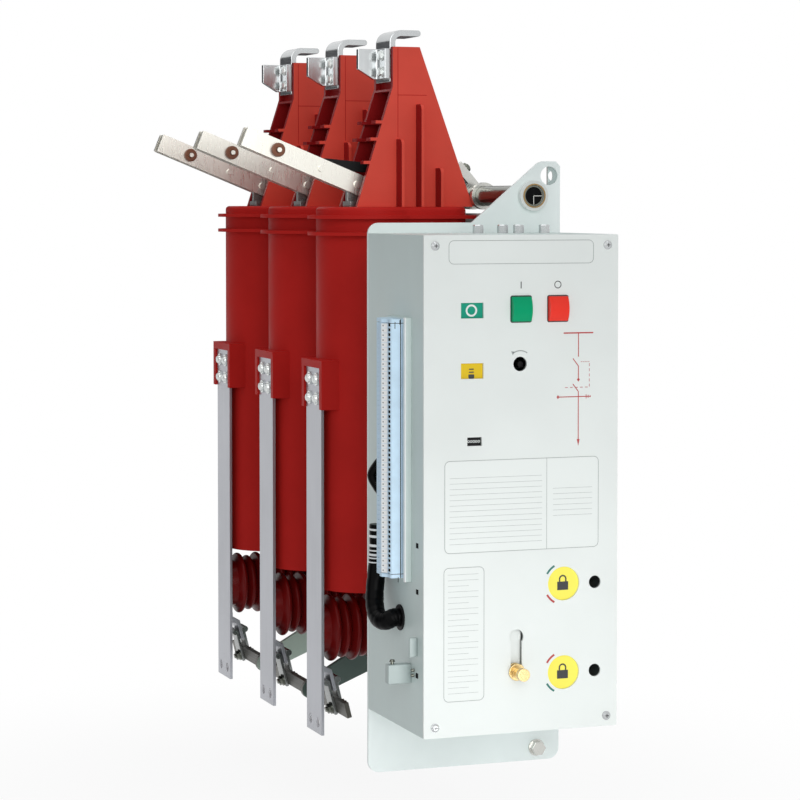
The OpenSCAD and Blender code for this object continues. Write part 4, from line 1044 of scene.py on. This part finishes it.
# %% [markdown]
# The studio has a pale round floor under the object. It is plain and matt below the object, where the shadow falls,
# and turns to the white of the background towards its rim, so no edge shows.

# %% Floor
FLOOR_Z, FLOOR_RADIUS = -0.48, 1.3
FLOOR_MIDDLE = (-0.2, -0.1, FLOOR_Z)
floor_mesh = bmesh.new()
bmesh.ops.create_circle(floor_mesh, cap_ends=True, segments=96, radius=FLOOR_RADIUS,
                        matrix=Matrix.Translation(FLOOR_MIDDLE))
data = bpy.data.meshes.new("floor")
floor_mesh.to_mesh(data)
floor_mesh.free()
floor = bpy.data.objects.new("floor", data)
scene.collection.objects.link(floor)
floor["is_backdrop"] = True
paper = bpy.data.materials.new("floor_paper")
paper.use_nodes = True
tree = paper.node_tree
shader = tree.nodes["Principled BSDF"]
put(shader, {"Base Color": (0.97, 0.97, 0.97, 1), "Roughness": 0.9, "Specular IOR Level": 0.1})
glow = tree.nodes.new("ShaderNodeEmission")
put(glow, {"Strength": 1})
where = tree.nodes.new("ShaderNodeTexCoord")
away = tree.nodes.new("ShaderNodeVectorMath")
away.operation = "DISTANCE"
away.inputs[1].default_value = FLOOR_MIDDLE
fade = tree.nodes.new("ShaderNodeMapRange")
fade.interpolation_type = "SMOOTHSTEP"
put(fade, {"From Min": 0.25, "From Max": 1.0, "To Min": 0.9})
masked = tree.nodes.new("ShaderNodeMath")
masked.operation = "MULTIPLY"
blend = tree.nodes.new("ShaderNodeMixShader")
wire(tree, (where, "Object", away, 0), (away, "Value", fade, "Value"), (fade, "Result", masked, 0))
tree.links.new(seen_rays(tree), masked.inputs[1])
wire(tree, (masked, "Value", blend, "Fac"), (shader, "BSDF", blend, 1), (glow, "Emission", blend, 2),
     (blend, "Shader", tree.nodes["Material Output"], "Surface"))
floor.data.materials.append(paper)
print("floor at", FLOOR_Z)

# %% [markdown]
# Dark cards stand beside and behind the object. Only its shiny surfaces mirror them, which gives metal its contrast.

# %% Dark cards
CARD_TOP = 0.75
CARDS = (((-1.7, -0.5), (-1.7, 0.4), -0.47), ((-1.7, 0.4), (-0.35, 1.35), 0.3), ((-0.35, 1.35), (1.3, 0.8), -0.47))
card_mesh = bpy.data.meshes.new("dark_cards")
corners = [(*spot, z) for start, end, foot in CARDS for spot, z in (
    (start, foot), (end, foot), (end, CARD_TOP), (start, CARD_TOP))]
card_mesh.from_pydata(corners, [], [range(4 * k, 4 * k + 4) for k in range(len(CARDS))])
card = bpy.data.objects.new("dark_cards", card_mesh)
scene.collection.objects.link(card)
card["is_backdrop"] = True
for ray in ("camera", "diffuse", "transmission", "shadow", "volume_scatter"):
    setattr(card, "visible_" + ray, False)
soot = bpy.data.materials.new("card_black")
soot.use_nodes = True
put(soot.node_tree.nodes["Principled BSDF"], {"Base Color": (0.1, 0.1, 0.105, 1)})
card_mesh.materials.append(soot)
print("cards:", len(CARDS))

# %% Size
low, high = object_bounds()
